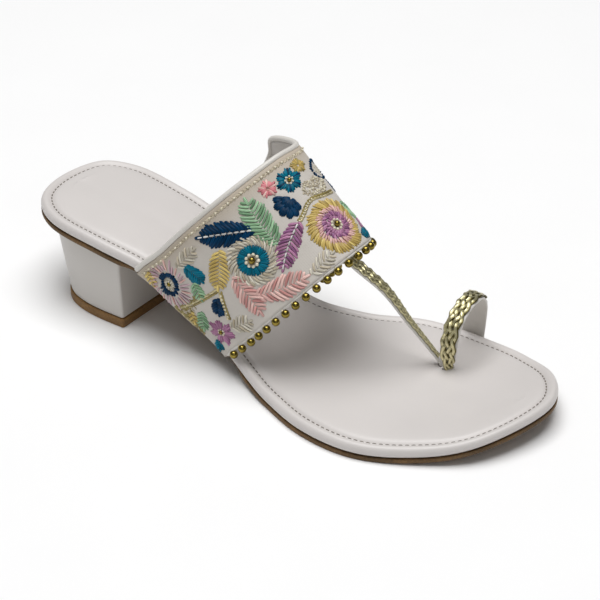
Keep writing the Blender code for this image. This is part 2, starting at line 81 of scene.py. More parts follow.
# %% Smooth curves through stations
def smooth(points, steps, closed=False):
    """Centripetal curve through points, with each span cut into its number of steps."""
    points = np.asarray(points, float)
    if closed:
        points = np.vstack([points[-1], points, points[:2]])
    spans = np.sqrt(np.linalg.norm(np.diff(points, axis=0), axis=1))
    chord = np.diff(points, axis=0) / spans[:, None]
    pair = (points[2:] - points[:-2]) / (spans[:-1] + spans[1:])[:, None]
    tangents = np.vstack([chord[:1], chord[:-1] - pair + chord[1:], chord[-1:]])
    first = 1 if closed else 0
    last = len(points) - 2 if closed else len(points) - 1
    counts = [steps] * (last - first) if np.isscalar(steps) else steps
    found = []
    for i, count in zip(range(first, last), counts):
        t = (np.arange(count) / count)[:, None]
        a, b = points[i], points[i + 1]
        ma, mb = tangents[i] * spans[i], tangents[i + 1] * spans[i]
        found.append((2 * t**3 - 3 * t**2 + 1) * a + (t**3 - 2 * t**2 + t) * ma
                     + (3 * t**2 - 2 * t**3) * b + (t**3 - t**2) * mb)
    if not closed:
        found.append(points[last : last + 1])
    return np.vstack(found)


def lengths(points):
    """Distance along a line of points, from nought at the first."""
    return np.r_[0, np.cumsum(np.linalg.norm(np.diff(points, axis=0), axis=1))]


def at_lengths(points, at):
    """Places at given distances along a line of points."""
    along = lengths(points)
    return np.stack([np.interp(at, along, points[:, k]) for k in range(points.shape[1])], 1)


def evenly(points, count):
    """The line with its points spread evenly along its length."""
    return at_lengths(points, np.linspace(0, lengths(points)[-1], count))


arc = smooth(((0, 0), (5, 5), (10, 0)), 8)
print("a curve through three stations:", len(arc), "points,", round(lengths(arc)[-1], 1), "mm long")

# %% The last: sole outline and arch
SOLE_LENGTH = 240.0
HEEL_POINT_Y, TOE_POINT_Y = 1.0, 11.1
OUTLINE_STEPS, SIDE_POINTS = 24, 110
# Share of the length, outer half-width, inner half-width.
OUTLINE = ((0.020, 17.1, 22.6), (0.080, 28.0, 29.8), (0.200, 30.7, 28.9), (0.330, 27.8, 26.2),
           (0.460, 28.6, 25.4), (0.580, 40.5, 34.6), (0.680, 49.0, 45.2), (0.780, 49.6, 47.0),
           (0.880, 38.6, 43.4), (0.955, 23.0, 33.0))
# Share of the length, height of the outsole's underside.
PROFILE = ((0.00, 37.6), (0.13, 35.4), (0.26, 30.8), (0.40, 13.6), (0.53, 1.9), (0.61, 0.0),
           (0.79, 0.0), (0.88, 1.2), (1.00, 7.7))


def arch_curve(table):
    """A smooth function through a two-column table that adds no bumps of its own."""
    x, y = np.array(table, float).T
    h = np.diff(x)
    slope = np.diff(y) / h
    m = np.zeros(len(x))
    for i in range(1, len(x) - 1):
        if slope[i - 1] * slope[i] > 0:
            w1, w2 = 2 * h[i] + h[i - 1], h[i] + 2 * h[i - 1]
            m[i] = (w1 + w2) / (w1 / slope[i - 1] + w2 / slope[i])
    m[0], m[-1] = slope[0], slope[-1]

    def value(at):
        at = np.clip(at, x[0], x[-1])
        i = np.clip(np.searchsorted(x, at) - 1, 0, len(h) - 1)
        t = (at - x[i]) / h[i]
        return ((2 * t**3 - 3 * t**2 + 1) * y[i] + (t**3 - 2 * t**2 + t) * h[i] * m[i]
                + (3 * t**2 - 2 * t**3) * y[i + 1] + (t**3 - t**2) * h[i] * m[i + 1])

    return value


underside = arch_curve([(share * SOLE_LENGTH, z) for share, z in PROFILE])
outer_stations = [(share * SOLE_LENGTH, -out) for share, out, _ in OUTLINE]
inner_stations = [(share * SOLE_LENGTH, inn) for share, _, inn in OUTLINE]
outline_stations = [(0, HEEL_POINT_Y), *outer_stations, (SOLE_LENGTH, TOE_POINT_Y), *inner_stations[::-1]]
outline_loop = smooth(outline_stations, OUTLINE_STEPS, closed=True)
toe = OUTLINE_STEPS * (len(outer_stations) + 1)
OUTER_SIDE = outline_loop[: toe + 1]
INNER_SIDE = np.vstack([outline_loop[toe:], outline_loop[:1]])[::-1]
outer_points, inner_points = (evenly(side, SIDE_POINTS + 1) for side in (OUTER_SIDE, INNER_SIDE))
SOLE_RING = np.vstack([outer_points, inner_points[-2:0:-1]])
INWARD = unit(np.roll(SOLE_RING, -1, 0) - np.roll(SOLE_RING, 1, 0))[:, ::-1] * (-1, 1)
print("outline points:", len(SOLE_RING), "ball width", round(float(np.ptp(SOLE_RING[:, 1])), 1), "mm")

# %% [markdown]
# ## Skinning a shape
# Leather over a board, a cloth band and a strap are all one skin through rows of points. By hand that
# is a grid, pulled row by row to its place. The grid primitive keeps its rows in order, so its corners
# are set from the rows, the seam and the poles are merged, and the faces are then turned outwards.
# Its UV map is set in millimetres where a weave or a thread has to follow the surface.

# %% A skin through rows of points
SMOOTH_ANGLE = np.radians(42)
GRID_SIZE, MERGE_WITHIN = 0.1, 1e-6  # metres: the grid before it is shaped, and points that are one


def skin(name, rows, cloth_mm=None):
    """A mesh through rows of points in millimetres; cloth_mm has their places on the flat cloth."""
    rows = np.asarray(rows, float)
    down, across = rows.shape[:2]
    bpy.ops.object.select_all(action="DESELECT")
    bpy.ops.mesh.primitive_grid_add(x_subdivisions=across - 1, y_subdivisions=down - 1, size=GRID_SIZE)
    piece = bpy.context.object
    piece.name = piece.data.name = name
    piece.data.vertices.foreach_set("co", placed(rows.reshape(-1, 3)).astype(np.float32).ravel())
    if cloth_mm is not None:
        corners = np.empty(len(piece.data.loops), np.int32)
        piece.data.loops.foreach_get("vertex_index", corners)
        flat = np.asarray(cloth_mm, np.float32).reshape(-1, 2)[corners]
        piece.data.uv_layers.active.data.foreach_set("uv", flat.ravel())
    bpy.ops.object.mode_set(mode="EDIT")
    bpy.ops.mesh.select_all(action="SELECT")
    bpy.ops.mesh.remove_doubles(threshold=MERGE_WITHIN)
    bpy.ops.mesh.normals_make_consistent(inside=False)
    bpy.ops.object.mode_set(mode="OBJECT")
    bpy.ops.object.shade_smooth_by_angle(angle=SMOOTH_ANGLE)
    return piece


def wall(piece, thick):
    """Gives a skin its thickness, evenly to both sides."""
    give = piece.modifiers.new("wall", "SOLIDIFY")
    give.thickness = thick * MM
    give.offset = 0
    give.use_even_offset = True
    bpy.ops.object.modifier_apply(modifier=give.name)


def dress(piece, finish, slot, *nodes):
    """Puts a finish on a piece, fixes it to the shoe and lets it stand for its solids."""
    piece.data.materials.clear()
    piece.data.materials.append(finish)
    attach(piece, "root")
    if nodes:
        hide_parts(*nodes)
    size = np.ptp(np.array([v.co for v in piece.data.vertices]), axis=0) / MM
    print(f"{piece.name}: {len(piece.data.polygons)} faces, {size.round(1)} mm")


def closed(ring):
    """A ring with its first point repeated at the end, so that its seam can be merged."""
    return np.vstack([ring, ring[:1]])


print("skins are shaded smooth up to", round(np.degrees(SMOOTH_ANGLE)), "degrees")

# %% [markdown]
# ## Colour and nodes
# Colours are read off the real thing as sRGB hex values. Cycles works in linear light, so one function
# turns them. One more function adds any shader node with its settings and its links.

# %% Hex to linear, and one way to add a node
def linear(code):
    """An sRGB hex colour as linear RGBA."""
    values = [int(code[i : i + 2], 16) / 255 for i in (1, 3, 5)]
    return (*(v / 12.92 if v <= 0.04045 else ((v + 0.055) / 1.055) ** 2.4 for v in values), 1.0)


def finish_named(name):
    """A new material with its tree and its shader."""
    finish = bpy.data.materials.new(name)
    finish.use_nodes = True
    return finish, finish.node_tree, finish.node_tree.nodes["Principled BSDF"]


def node(tree, kind, feeds=None, **settings):
    """Adds a node, sets its properties, then sets or links its inputs."""
    new = tree.nodes.new(kind)
    for name, value in settings.items():
        setattr(new, name, value)
    for name, value in (feeds or {}).items():
        if isinstance(value, bpy.types.NodeSocket):
            tree.links.new(value, new.inputs[name])
        else:
            new.inputs[name].default_value = value
    return new


print("middle grey #808080 in linear light:", round(linear("#808080")[0], 3))

# %% [markdown]
# ## White leather
# The footbed, heel cover, piping and strips are one coated white leather: pressed smooth, with a faint
# pebble under the coat and soft cloudy shading where it was pulled over the board. The pebble is about
# 0.5 mm on the real skin; it is drawn at 1.1 mm so that it shows at all.

# %% Coated white leather, pressed smooth
CLOUD_MM, PEBBLE_DEPTH_MM = 45, 0.1


def white_leather(name, pale, shade, pebble_mm, depth):
    """Smooth leather: cloudy colour, pebbled bump, gloss that breaks up a little."""
    finish, tree, shader = finish_named(name)
    where = node(tree, "ShaderNodeTexCoord").outputs["Object"]
    cloud = node(tree, "ShaderNodeTexNoise", {"Vector": where, "Scale": 1 / (CLOUD_MM * MM), "Detail": 3.0})
    tone = node(tree, "ShaderNodeMix", {"Factor": cloud.outputs["Fac"], "A": linear(shade),
                                        "B": linear(pale)}, data_type="RGBA")
    tree.links.new(tone.outputs["Result"], shader.inputs["Base Color"])
    pebble = node(tree, "ShaderNodeTexVoronoi", {"Vector": where, "Scale": 1 / (pebble_mm * MM)},
                  feature="SMOOTH_F1")
    bump = node(tree, "ShaderNodeBump", {"Height": pebble.outputs["Distance"], "Strength": depth,
                                         "Distance": PEBBLE_DEPTH_MM * MM})
    tree.links.new(bump.outputs["Normal"], shader.inputs["Normal"])
    gloss = node(tree, "ShaderNodeMapRange", {"Value": cloud.outputs["Fac"], "To Min": 0.34, "To Max": 0.48})
    tree.links.new(gloss.outputs["Result"], shader.inputs["Roughness"])
    shader.inputs["Coat Weight"].default_value = 0.12
    shader.inputs["Coat Roughness"].default_value = 0.3
    return finish


bed_leather = white_leather("white coated leather, padded and pressed", "#D8D3D0", "#CDC8C5", 1.1, 0.22)
heel_leather = white_leather("white coated leather, pulled over the heel", "#D0CCC7", "#C5C0BA", 1.1, 0.16)
strip_leather = white_leather("white coated leather, cut in strips", "#DEDBD5", "#D2CEC7", 0.9, 0.15)
lining_leather = white_leather("pale lining leather, unpolished", "#D3CFC9", "#C4BFB8", 0.8, 0.35)
print("leathers:", bed_leather.name, "|", heel_leather.name)

# %% [markdown]
# ## Tan sheet rubber
# The outsole and the heel's top lift are tan sheet, moulded flat and cut, then left matt. Fine dark and
# light grit shows in its cut edge. Real grit is near 0.2 mm; it is drawn at 0.8 mm so that it shows.

# %% Moulded tan sheet, cut and left matt
GRIT_MM, PATCH_MM, GRIT_DEPTH_MM = 0.8, 18, 0.1


def tan_sheet(name, pale, dark):
    """Matt sheet with fine grit in its colour and surface."""
    finish, tree, shader = finish_named(name)
    where = node(tree, "ShaderNodeTexCoord").outputs["Object"]
    grit = node(tree, "ShaderNodeTexNoise", {"Vector": where, "Scale": 1 / (GRIT_MM * MM), "Detail": 2.0})
    patch = node(tree, "ShaderNodeTexNoise", {"Vector": where, "Scale": 1 / (PATCH_MM * MM), "Detail": 2.0})
    both = node(tree, "ShaderNodeMath", {0: grit.outputs["Fac"], 1: patch.outputs["Fac"]},
                operation="MULTIPLY")
    spread = node(tree, "ShaderNodeMapRange", {"Value": both.outputs[0], "From Min": 0.12, "From Max": 0.42})
    tone = node(tree, "ShaderNodeMix", {"Factor": spread.outputs["Result"], "A": linear(dark),
                                        "B": linear(pale)}, data_type="RGBA")
    tree.links.new(tone.outputs["Result"], shader.inputs["Base Color"])
    bump = node(tree, "ShaderNodeBump", {"Height": grit.outputs["Fac"], "Strength": 0.35,
                                         "Distance": GRIT_DEPTH_MM * MM})
    tree.links.new(bump.outputs["Normal"], shader.inputs["Normal"])
    shader.inputs["Roughness"].default_value = 0.62
    return finish


sole_tan = tan_sheet("tan sheet rubber, moulded and cut", "#7A5A30", "#4E3818")
lift_tan = tan_sheet("tan top-lift rubber, moulded", "#96703C", "#6F4F26")
print("rubbers:", sole_tan.name, "|", lift_tan.name)

# %% [markdown]
# ## Outsole
# The outsole is one thin sheet under the whole shoe. It follows the arch down from the heel seat, and is
# narrower at the waist where the band's ends wrap under. Rings of the outline at each inset and height
# make its rounded edge, and the first and last ring are folded to the middle line to close it.

# %% Rings of the outline, and the outsole
OUTSOLE_THICK = 1.8
BAND_BACK_X, BAND_FRONT_X = 66.0, 113.8
WAIST_BACK, WAIST_FRONT, WAIST_EASE, WAIST_NARROWER = 9.0, 11.0, 8.0, 1.4
FOLD_INSET, FOLD_EASE = 11.0, 8.0
# Inset from the outline and height above the underside, round the edge.
OUTSOLE_SECTION = ((FOLD_INSET, 0.0), (0.5, 0.0), (0.15, 0.12), (0.0, 0.45), (0.0, 1.35), (0.15, 1.68),
                   (0.5, OUTSOLE_THICK), (FOLD_INSET, OUTSOLE_THICK))


def waist(x):
    """One under the band and nought at heel and ball."""
    rise = np.clip((x - BAND_BACK_X + WAIST_BACK) / WAIST_EASE, 0, 1)
    fall = np.clip((BAND_FRONT_X + WAIST_FRONT - x) / WAIST_EASE, 0, 1)
    return rise * rise * (3 - 2 * rise) * fall * fall * (3 - 2 * fall)


def level_ring(inset, height, lift, narrower=0.0):
    """The outline moved in by inset, at a height above the underside plus lift."""
    flat = SOLE_RING + INWARD * (inset + narrower * waist(SOLE_RING[:, 0]))[:, None]
    return np.c_[flat, underside(flat[:, 0]) + lift + height]


def folded(ring, steps, height):
    """Rings from a ring in to its middle line, where its two sides meet; height is a function of depth."""
    other = np.roll(ring[::-1], 1, axis=0)
    middle = (ring + other) / 2
    deep = np.minimum(1, np.linalg.norm(middle - ring, axis=1) / FOLD_EASE)
    rows = []
    for s in np.linspace(0, 1, steps + 1)[1:]:
        row = ring + (middle - ring) * s
        rows.append(np.c_[row[:, :2], underside(row[:, 0]) + height(s * deep)])
    return rows


sole_rings = [level_ring(inset, height, 0.0, WAIST_NARROWER) for inset, height in OUTSOLE_SECTION]
sole_rings = (folded(sole_rings[0], 4, lambda s: 0.0)[::-1] + sole_rings
              + folded(sole_rings[-1], 4, lambda s: OUTSOLE_THICK))
outsole_sheet = skin("outsole_sheet", [closed(ring) for ring in sole_rings])
dress(outsole_sheet, sole_tan, "outsole_tan", "outsole")

# %% [markdown]
# ## Heel block and top lift
# The heel is a squared D in plan, moulded and covered in the same white leather, and it stands on a tan
# lift that shows a hair wider. Its rings step in from the seat to the floor, with a small turned edge at
# the bottom.

# %% The D-shaped rings
HEEL_BREAST_X, HEEL_CENTRE_Y, HEEL_CORNER_R, HEEL_SQUARENESS = 56.9, -0.6, 1.2, 3.0
TIP_THICK, GAP = 3.9, 0.3
HEEL_FOLD_END = 14.0
# Share of the height, back point, half-width.
HEEL_RINGS = ((0.0, 16.0, 27.2), (0.36, 13.7, 27.7), (0.72, 11.3, 28.2), (1.0, 9.5, 28.4))


def heel_ring(back, half_width, breast=HEEL_BREAST_X):
    """D-shaped ring: back point, round outer side and corner, breast, inner side."""
    turn = np.linspace(0, np.pi / 2, 33)[:-1]
    bend = np.linspace(0, np.pi / 2, 9)
    straight, power = breast - HEEL_CORNER_R, 2 / HEEL_SQUARENESS
    side_x = straight - (straight - back) * np.cos(turn) ** power
    side = np.c_[side_x, -half_width * np.sin(turn) ** power]
    corner_y = -half_width + HEEL_CORNER_R * (1 - np.cos(bend))
    corner = np.c_[straight + HEEL_CORNER_R * np.sin(bend), corner_y]
    front = np.c_[np.full(8, breast), np.linspace(-half_width + HEEL_CORNER_R, 0, 9)[1:]]
    outer = np.vstack([side, corner, front])
    return np.vstack([outer, (outer * (1, -1))[-2:0:-1]]) + (0, HEEL_CENTRE_Y)


def heel_fold(ring, height, steps=5):
    """Rings from a heel ring in to its middle line, which stops short of the back and the breast."""
    middle = (ring[:, :2] + np.roll(ring[::-1, :2], 1, axis=0)) / 2
    middle[:, 0] = np.clip(middle[:, 0], ring[:, 0].min() + HEEL_FOLD_END, ring[:, 0].max() - HEEL_FOLD_END)
    rows = [ring[:, :2] + (middle - ring[:, :2]) * s for s in np.linspace(0, 1, steps + 1)[1:]]
    return [np.c_[row, height(row[:, 0])] for row in rows]


print("points in a heel ring:", len(heel_ring(*HEEL_RINGS[-1][1:])))

# %% Heel cover
TURNED_EDGE = 0.5
ring_table = smooth(HEEL_RINGS, 6)
block_low = TIP_THICK + GAP
cover_rings = []
for share, back, half_width in ring_table:
    flat = heel_ring(back, half_width)
    cover_rings.append(np.c_[flat, block_low + (underside(flat[:, 0]) - GAP - block_low) * share])
_, low_back, low_half_width = HEEL_RINGS[0]
turned = heel_ring(low_back + TURNED_EDGE, low_half_width - TURNED_EDGE, HEEL_BREAST_X - TURNED_EDGE)
turned = np.c_[turned, np.full(len(turned), block_low)]
cover_rings[0][:, 2] += TURNED_EDGE
cover_rings = (heel_fold(turned, lambda x: np.full(len(x), block_low))[::-1] + [turned] + cover_rings
               + heel_fold(cover_rings[-1], lambda x: underside(x) - GAP))
heel_cover = skin("heel_cover", [closed(ring) for ring in cover_rings])
dress(heel_cover, heel_leather, "heel_white", "heel_block")

# %% [markdown]
# The lift is cut from sheet: the D outline is filled, extruded up by its thickness, and its edges are
# eased with a small bevel, as a knife and a grinding wheel leave it.

# %% Top lift, extruded and bevelled
LIFT_PROUD, LIFT_EASED = 0.5, 0.45
lift_outline = heel_ring(low_back - LIFT_PROUD, low_half_width + LIFT_PROUD, HEEL_BREAST_X + LIFT_PROUD)
lift_points = placed(np.c_[lift_outline, np.zeros(len(lift_outline))])
bpy.ops.object.select_all(action="DESELECT")
bpy.ops.mesh.primitive_circle_add(vertices=len(lift_outline), radius=0.03, fill_type="NGON")
heel_lift = bpy.context.object
heel_lift.name = heel_lift.data.name = "heel_lift"
heel_lift.data.vertices.foreach_set("co", lift_points.astype(np.float32).ravel())
bpy.ops.object.mode_set(mode="EDIT")
bpy.ops.mesh.select_all(action="SELECT")
bpy.ops.mesh.extrude_region_move(TRANSFORM_OT_translate={"value": (0, 0, TIP_THICK * MM)})
bpy.ops.mesh.select_all(action="SELECT")
bpy.ops.mesh.normals_make_consistent(inside=False)
bpy.ops.object.mode_set(mode="OBJECT")
ease = heel_lift.modifiers.new("eased edge", "BEVEL")
ease.width, ease.segments, ease.limit_method = LIFT_EASED * MM, 3, "ANGLE"
ease.angle_limit = np.radians(60)
bpy.ops.object.modifier_apply(modifier=ease.name)
bpy.ops.object.shade_smooth_by_angle(angle=SMOOTH_ANGLE)
dress(heel_lift, lift_tan, "top_lift_tan", "heel_tip")

# %% [markdown]
# ## Footbed
# The footbed is a board wrapped in leather with thin foam on top. Its rim is rolled and stands a little
# proud; a sewn groove runs round 5 mm in from the edge, and the padding swells softly inside it. The
# section is smoothed from a few stations and swept round the outline, then folded to the middle.

# %% Rolled rim, sewn groove and padded top
BED_LIFT = OUTSOLE_THICK + GAP
GROOVE_INSET, GROOVE_HEIGHT = 4.7, 3.2
PAD_HEIGHT, PAD_SWELL, PAD_DIP = 4.8, 0.14, 0.2
# Inset from the outline and height above the outsole, from the board's lower edge over the rim.
RIM_SECTION = ((1.1, 0.0), (0.2, 0.8), (0.0, 1.9), (0.4, 3.1), (1.2, 4.0), (2.2, 4.35), (3.4, 4.05),
               (4.25, 3.55), (GROOVE_INSET, GROOVE_HEIGHT), (5.15, 3.55), (6.1, 4.2), (7.5, 4.55),
               (FOLD_INSET, PAD_HEIGHT))


def pad_height(s):
    """Height of the padded top, from the rim (0) to the middle line (1)."""
    return BED_LIFT + PAD_HEIGHT + PAD_SWELL * np.sin(np.pi * s) - PAD_DIP * s * s


bed_rings = [level_ring(inset, height, BED_LIFT) for inset, height in smooth(RIM_SECTION, 3)]
bottom_ring = level_ring(FOLD_INSET, 0.0, BED_LIFT)
bed_rings = (folded(bottom_ring, 3, lambda s: BED_LIFT)[::-1] + [bottom_ring] + bed_rings
             + folded(bed_rings[-1], 9, pad_height))
footbed_pad = skin("footbed_pad", [closed(ring) for ring in bed_rings])
dress(footbed_pad, bed_leather, "footbed_white", "footbed")

# %% [markdown]
# ## Stitches
# Every stitch on the shoe, from the footbed's running stitch to the embroidery, is one short laid thread:
# half round, thin at both ends where it dives into the cloth. Hundreds are needed, so one function builds
# them all in arrays as one mesh, a few dozen faces each. UV runs along the thread in millimetres,
# and a "shade" value per stitch lets the dye vary as it does between strands.

# %% Laid threads from arrays
STATIONS = np.array((0.0, 0.12, 0.36, 0.64, 0.88, 1.0))
TAPER = np.array((0.30, 0.82, 1.0, 1.0, 0.82, 0.30))
RISE = np.array((0.05, 0.72, 1.0, 1.0, 0.72, 0.05))
ROUND = np.radians((0, 45, 90, 135, 180))
THREAD_SUNK = 0.12


def copies(name, points, faces):
    """One mesh of many copies: points is (copies, corners, 3) in millimetres, faces are those of one copy."""
    count, corners = points.shape[:2]
    all_faces = [tuple(c + k * corners for c in face) for k in range(count) for face in faces]
    mesh = bpy.data.meshes.new(name)
    mesh.from_pydata(placed(points.reshape(-1, 3)).tolist(), [], all_faces)
    mesh.polygons.foreach_set("use_smooth", np.ones(len(mesh.polygons), bool))
    return mesh


def thread_faces():
    """Faces of one stitch: rings joined to a tube, and its two ends."""
    run, rings = len(ROUND), len(STATIONS)
    faces = []
    for i in range(rings - 1):
        for j in range(run):
            k = (j + 1) % run
            faces.append((i * run + k, (i + 1) * run + k, (i + 1) * run + j, i * run + j))
    return [*faces, tuple(range(run - 1, -1, -1)), tuple(range((rings - 1) * run, rings * run))]


def laid_threads(name, paths, normals, widths, heights, shades, finish, slot):
    """One piece of many stitches; paths and normals are (stitches, stations, 3) in millimetres."""
    tangents = unit(np.gradient(paths, axis=1))
    sideways = unit(np.cross(normals, tangents))
    wide = (widths[:, None] * TAPER)[..., None, None] / 2
    tall = (heights[:, None] * RISE)[..., None, None]
    cos, sin = np.cos(ROUND)[:, None], np.sin(ROUND)[:, None]
    points = (paths[:, :, None] + sideways[:, :, None] * cos * wide
              + normals[:, :, None] * (sin * tall - THREAD_SUNK))
    each = len(STATIONS) * len(ROUND)
    mesh = copies(name, points.reshape(-1, each, 3), thread_faces())
    along = np.linalg.norm(paths[:, -1] - paths[:, 0], axis=1)[:, None, None] * STATIONS[None, :, None]
    flat = np.stack(np.broadcast_arrays(along, np.linspace(0, 1, len(ROUND))), -1).reshape(-1, 2)
    corners = np.empty(len(mesh.loops), np.int32)
    mesh.loops.foreach_get("vertex_index", corners)
    lie = mesh.uv_layers.new(name="thread_mm")
    lie.data.foreach_set("uv", flat[corners].astype(np.float32).ravel())
    tint = mesh.attributes.new("shade", "FLOAT", "POINT")
    tint.data.foreach_set("value", np.repeat(shades, each).astype(np.float32))
    piece = bpy.data.objects.new(name, mesh)
    bpy.context.scene.collection.objects.link(piece)
    dress(piece, finish, slot)


print("faces in one stitch:", len(thread_faces()))

# %% [markdown]
# Thread is twisted from strands that lie side by side, so fine lines run along each stitch. Its crown is
# painted lighter and its flanks darker, a painted highlight and painted shade that set the stitches apart.
# Real floss has six strands of 0.2 mm; three are drawn across each stitch so that they show.

# %% Twisted thread
TWIST_PER_MM, STRANDS_ACROSS, STRAND_DEPTH_MM = 0.22, 3.0, 0.12
PAINTED_CROWN_FULL = 0.24
# A wave texture turns by ten times its Scale, in radians, for each unit along the diagonal.
ONE_WAVE_DIAGONAL = 2 * np.pi / 10


def thread_finish(name, pale, deep, gleam, roughness, metallic=0.0):
    """Twisted thread: strands side by side, a painted highlight on its crown and painted shade at its flanks,
    each stitch its own shade of dye.
    """
    finish, tree, shader = finish_named(name)
    lie = node(tree, "ShaderNodeUVMap", uv_map="thread_mm").outputs["UV"]
    twist = node(tree, "ShaderNodeMapping", {"Vector": lie, "Scale": (TWIST_PER_MM, STRANDS_ACROSS, 1.0)})
    strands = node(tree, "ShaderNodeTexWave",
                   {"Vector": twist.outputs["Vector"], "Scale": ONE_WAVE_DIAGONAL, "Distortion": 0.5,
                    "Detail": 1.0, "Detail Scale": 1.5}, bands_direction="DIAGONAL")
    # The crown of each stitch is painted light and its flanks painted dark: painted highlight and painted
    # shade between stitches.
    round_over = node(tree, "ShaderNodeSeparateXYZ", {"Vector": lie}).outputs["Y"]
    flank = node(tree, "ShaderNodeMath", {0: 1.0, 1: round_over}, operation="SUBTRACT")
    painted_crown_shading = node(tree, "ShaderNodeMath", {0: flank.outputs[0], 1: round_over}, operation="MULTIPLY")
    painted_crown_shading = node(tree, "ShaderNodeMapRange", {"Value": painted_crown_shading.outputs[0], "From Max": PAINTED_CROWN_FULL})
    shade = node(tree, "ShaderNodeAttribute", attribute_name="shade").outputs["Fac"]
    dye_and_painted_shade = node(tree, "ShaderNodeMapRange", {"Value": strands.outputs["Fac"], "To Min": 0.55, "To Max": 1.0})
    dye_and_painted_shade = node(tree, "ShaderNodeMath", {0: dye_and_painted_shade.outputs["Result"], 1: shade}, operation="MULTIPLY")
    dye_and_painted_shade = node(tree, "ShaderNodeMath", {0: dye_and_painted_shade.outputs[0], 1: painted_crown_shading.outputs["Result"]}, operation="MULTIPLY")
    tone = node(tree, "ShaderNodeMix", {"Factor": dye_and_painted_shade.outputs[0], "A": linear(deep), "B": linear(pale)},
                data_type="RGBA")
    tree.links.new(tone.outputs["Result"], shader.inputs["Base Color"])
    bump = node(tree, "ShaderNodeBump", {"Height": strands.outputs["Fac"], "Strength": 0.45,
                                         "Distance": STRAND_DEPTH_MM * MM})
    tree.links.new(bump.outputs["Normal"], shader.inputs["Normal"])
    shader.inputs["Roughness"].default_value = roughness
    shader.inputs["Metallic"].default_value = metallic
    shader.inputs["Specular IOR Level"].default_value = gleam
    return finish


# Its darker colour is painted into each stitch's flanks as shade.
waxed_thread = thread_finish("waxed cotton thread, twisted", "#8A837B", "#4C453F", 0.3, 0.55)
print("thread:", waxed_thread.name)

# %% [markdown]
# The footbed's running stitch is a dark waxed thread in the groove, about four stitches to the centimetre.
# Each stitch lies along the groove between two points of its path, so it follows the curve of the toe.

# %% Running stitch in the groove
STITCH_PITCH, STITCH_LENGTH = 2.5, 1.7
STITCH_WIDTH, STITCH_HEIGHT, STITCH_LIFT = 0.6, 0.34, 0.16
groove = closed(level_ring(GROOVE_INSET, GROOVE_HEIGHT, BED_LIFT))
groove_length = lengths(groove)[-1]
stitch_count = int(groove_length / STITCH_PITCH)
starts = np.arange(stitch_count) * groove_length / stitch_count
paths = np.stack([at_lengths(groove, starts + STITCH_LENGTH * s) for s in STATIONS], 1)
paths[..., 2] += STITCH_LIFT
normals = np.broadcast_to(np.array((0.0, 0.0, 1.0)), paths.shape)
shades = hand.uniform(0.6, 1.0, stitch_count)
laid_threads("groove_stitches", paths, normals, np.full(stitch_count, STITCH_WIDTH),
             np.full(stitch_count, STITCH_HEIGHT), shades, waxed_thread, "footbed_white")
print("running stitches:", stitch_count, "round", round(groove_length), "mm")

# %% [markdown]
# ## Instep band
# The band is a strip of ivory cloth over a leather lining. It leans forward over the foot, and its two ends
# are tucked under the footbed. Rows of points across the foot are joined from the back edge to the front
# edge; the cloth and the lining are then two skins on either side of them, each with its own thickness.

# %% The band's tucked ends
BACK_LEAN, FRONT_LEAN, FRONT_INNER = 0.88, 0.79, -4.5
BAND_TUCK, BAND_CLEAR, BAND_THICK, BAND_WIDTH = 9.0, 0.6, 1.8, 52.0
HEM_TOP = 5.2


def edge_y(x, side):
    """Y of the sole's edge at x, on the outer (-1) or inner (+1) side."""
    line = OUTER_SIDE if side < 0 else INNER_SIDE
    line = line[(line[:, 0] > 0.1 * SOLE_LENGTH) & (line[:, 0] < 0.9 * SOLE_LENGTH)]
    return np.interp(x, line[:, 0], line[:, 1])


def band_hem(share, lean, side):
    """The tucked end of the band: under the footbed, round its edge and up."""
    front_x = BAND_FRONT_X + (FRONT_INNER if side > 0 else 0.0)
    x = BAND_BACK_X + (front_x - BAND_BACK_X) * share
    z = underside(x) + OUTSOLE_THICK + GAP + BAND_THICK / 2
    out = BAND_CLEAR + BAND_THICK / 2
    edge, edge_top = edge_y(x, side), edge_y(x + lean * HEM_TOP, side)
    return [(x, edge - side * BAND_TUCK, z),
            (x, edge - side * 0.4, z),
            (x + 0.3, edge + side * (out - 0.3), z + 0.3),
            (x + 1.2, edge + side * (out + 0.1), z + 1.5),
            (x + lean * 3, edge + side * (out + 0.15), z + 3.0),
            (x + lean * HEM_TOP, edge_top + side * (out + 0.2), z + HEM_TOP)]


print("sole's edges under the band's back:", [edge_y(BAND_BACK_X, side).round(1) for side in (-1, 1)], "mm")

# %% The band's middle surface
BAND_TRIM = 0.048  # share of the rows' width that is cut off again along the back edge
# Back edge across and height, front edge across and height, back setback, front bow.
BAND_ROWS = ((-29.2, 44.0, -31.4, 20.5, 0.0, 0.0), (-26.3, 59.0, -29.4, 32.5, 0.0, 0.9),
             (-14.5, 75.5, -17.2, 49.0, 0.0, 1.7), (3.0, 84.9, -1.0, 57.0, 0.0, 2.2),
             (19.4, 84.2, 12.2, 55.6, 0.5, 1.4), (26.6, 78.6, 22.6, 49.2, 13.5, -1.8),
             (29.4, 70.5, 27.6, 41.0, 8.5, -4.0), (30.0, 57.0, 30.6, 30.6, 3.0, -4.7),
             (29.0, 43.0, 30.2, 20.0, 0.0, -4.5))
BAND_STEPS = (1, 1, 2, 1, 1, 2, 3, 4, 4, 4, 3, 3, 3, 3, 2, 1, 1, 2, 1, 1)
FINER, BAND_COLUMNS = 4, 44


def band_column(share):
    """Points across the foot, at a share of the band's width from its back edge."""
    share = BAND_TRIM + (1 - BAND_TRIM) * share
    back_z, front_z = (underside(x) + OUTSOLE_THICK for x in (BAND_BACK_X, BAND_FRONT_X))
    lean = BACK_LEAN + (FRONT_LEAN - BACK_LEAN) * share
    arch = []
    for back_y, back_h, front_y, front_h, setback, bow in BAND_ROWS:
        back = np.array((BAND_BACK_X + BACK_LEAN * (back_h - back_z) - setback, back_y, back_h))
        front = np.array((BAND_FRONT_X + FRONT_LEAN * (front_h - front_z) + bow, front_y, front_h))
        arch.append(back + (front - back) * share)
    stations = [*band_hem(share, lean, -1), *arch, *band_hem(share, lean, 1)[::-1]]
    return smooth(stations, [FINER * count for count in BAND_STEPS])


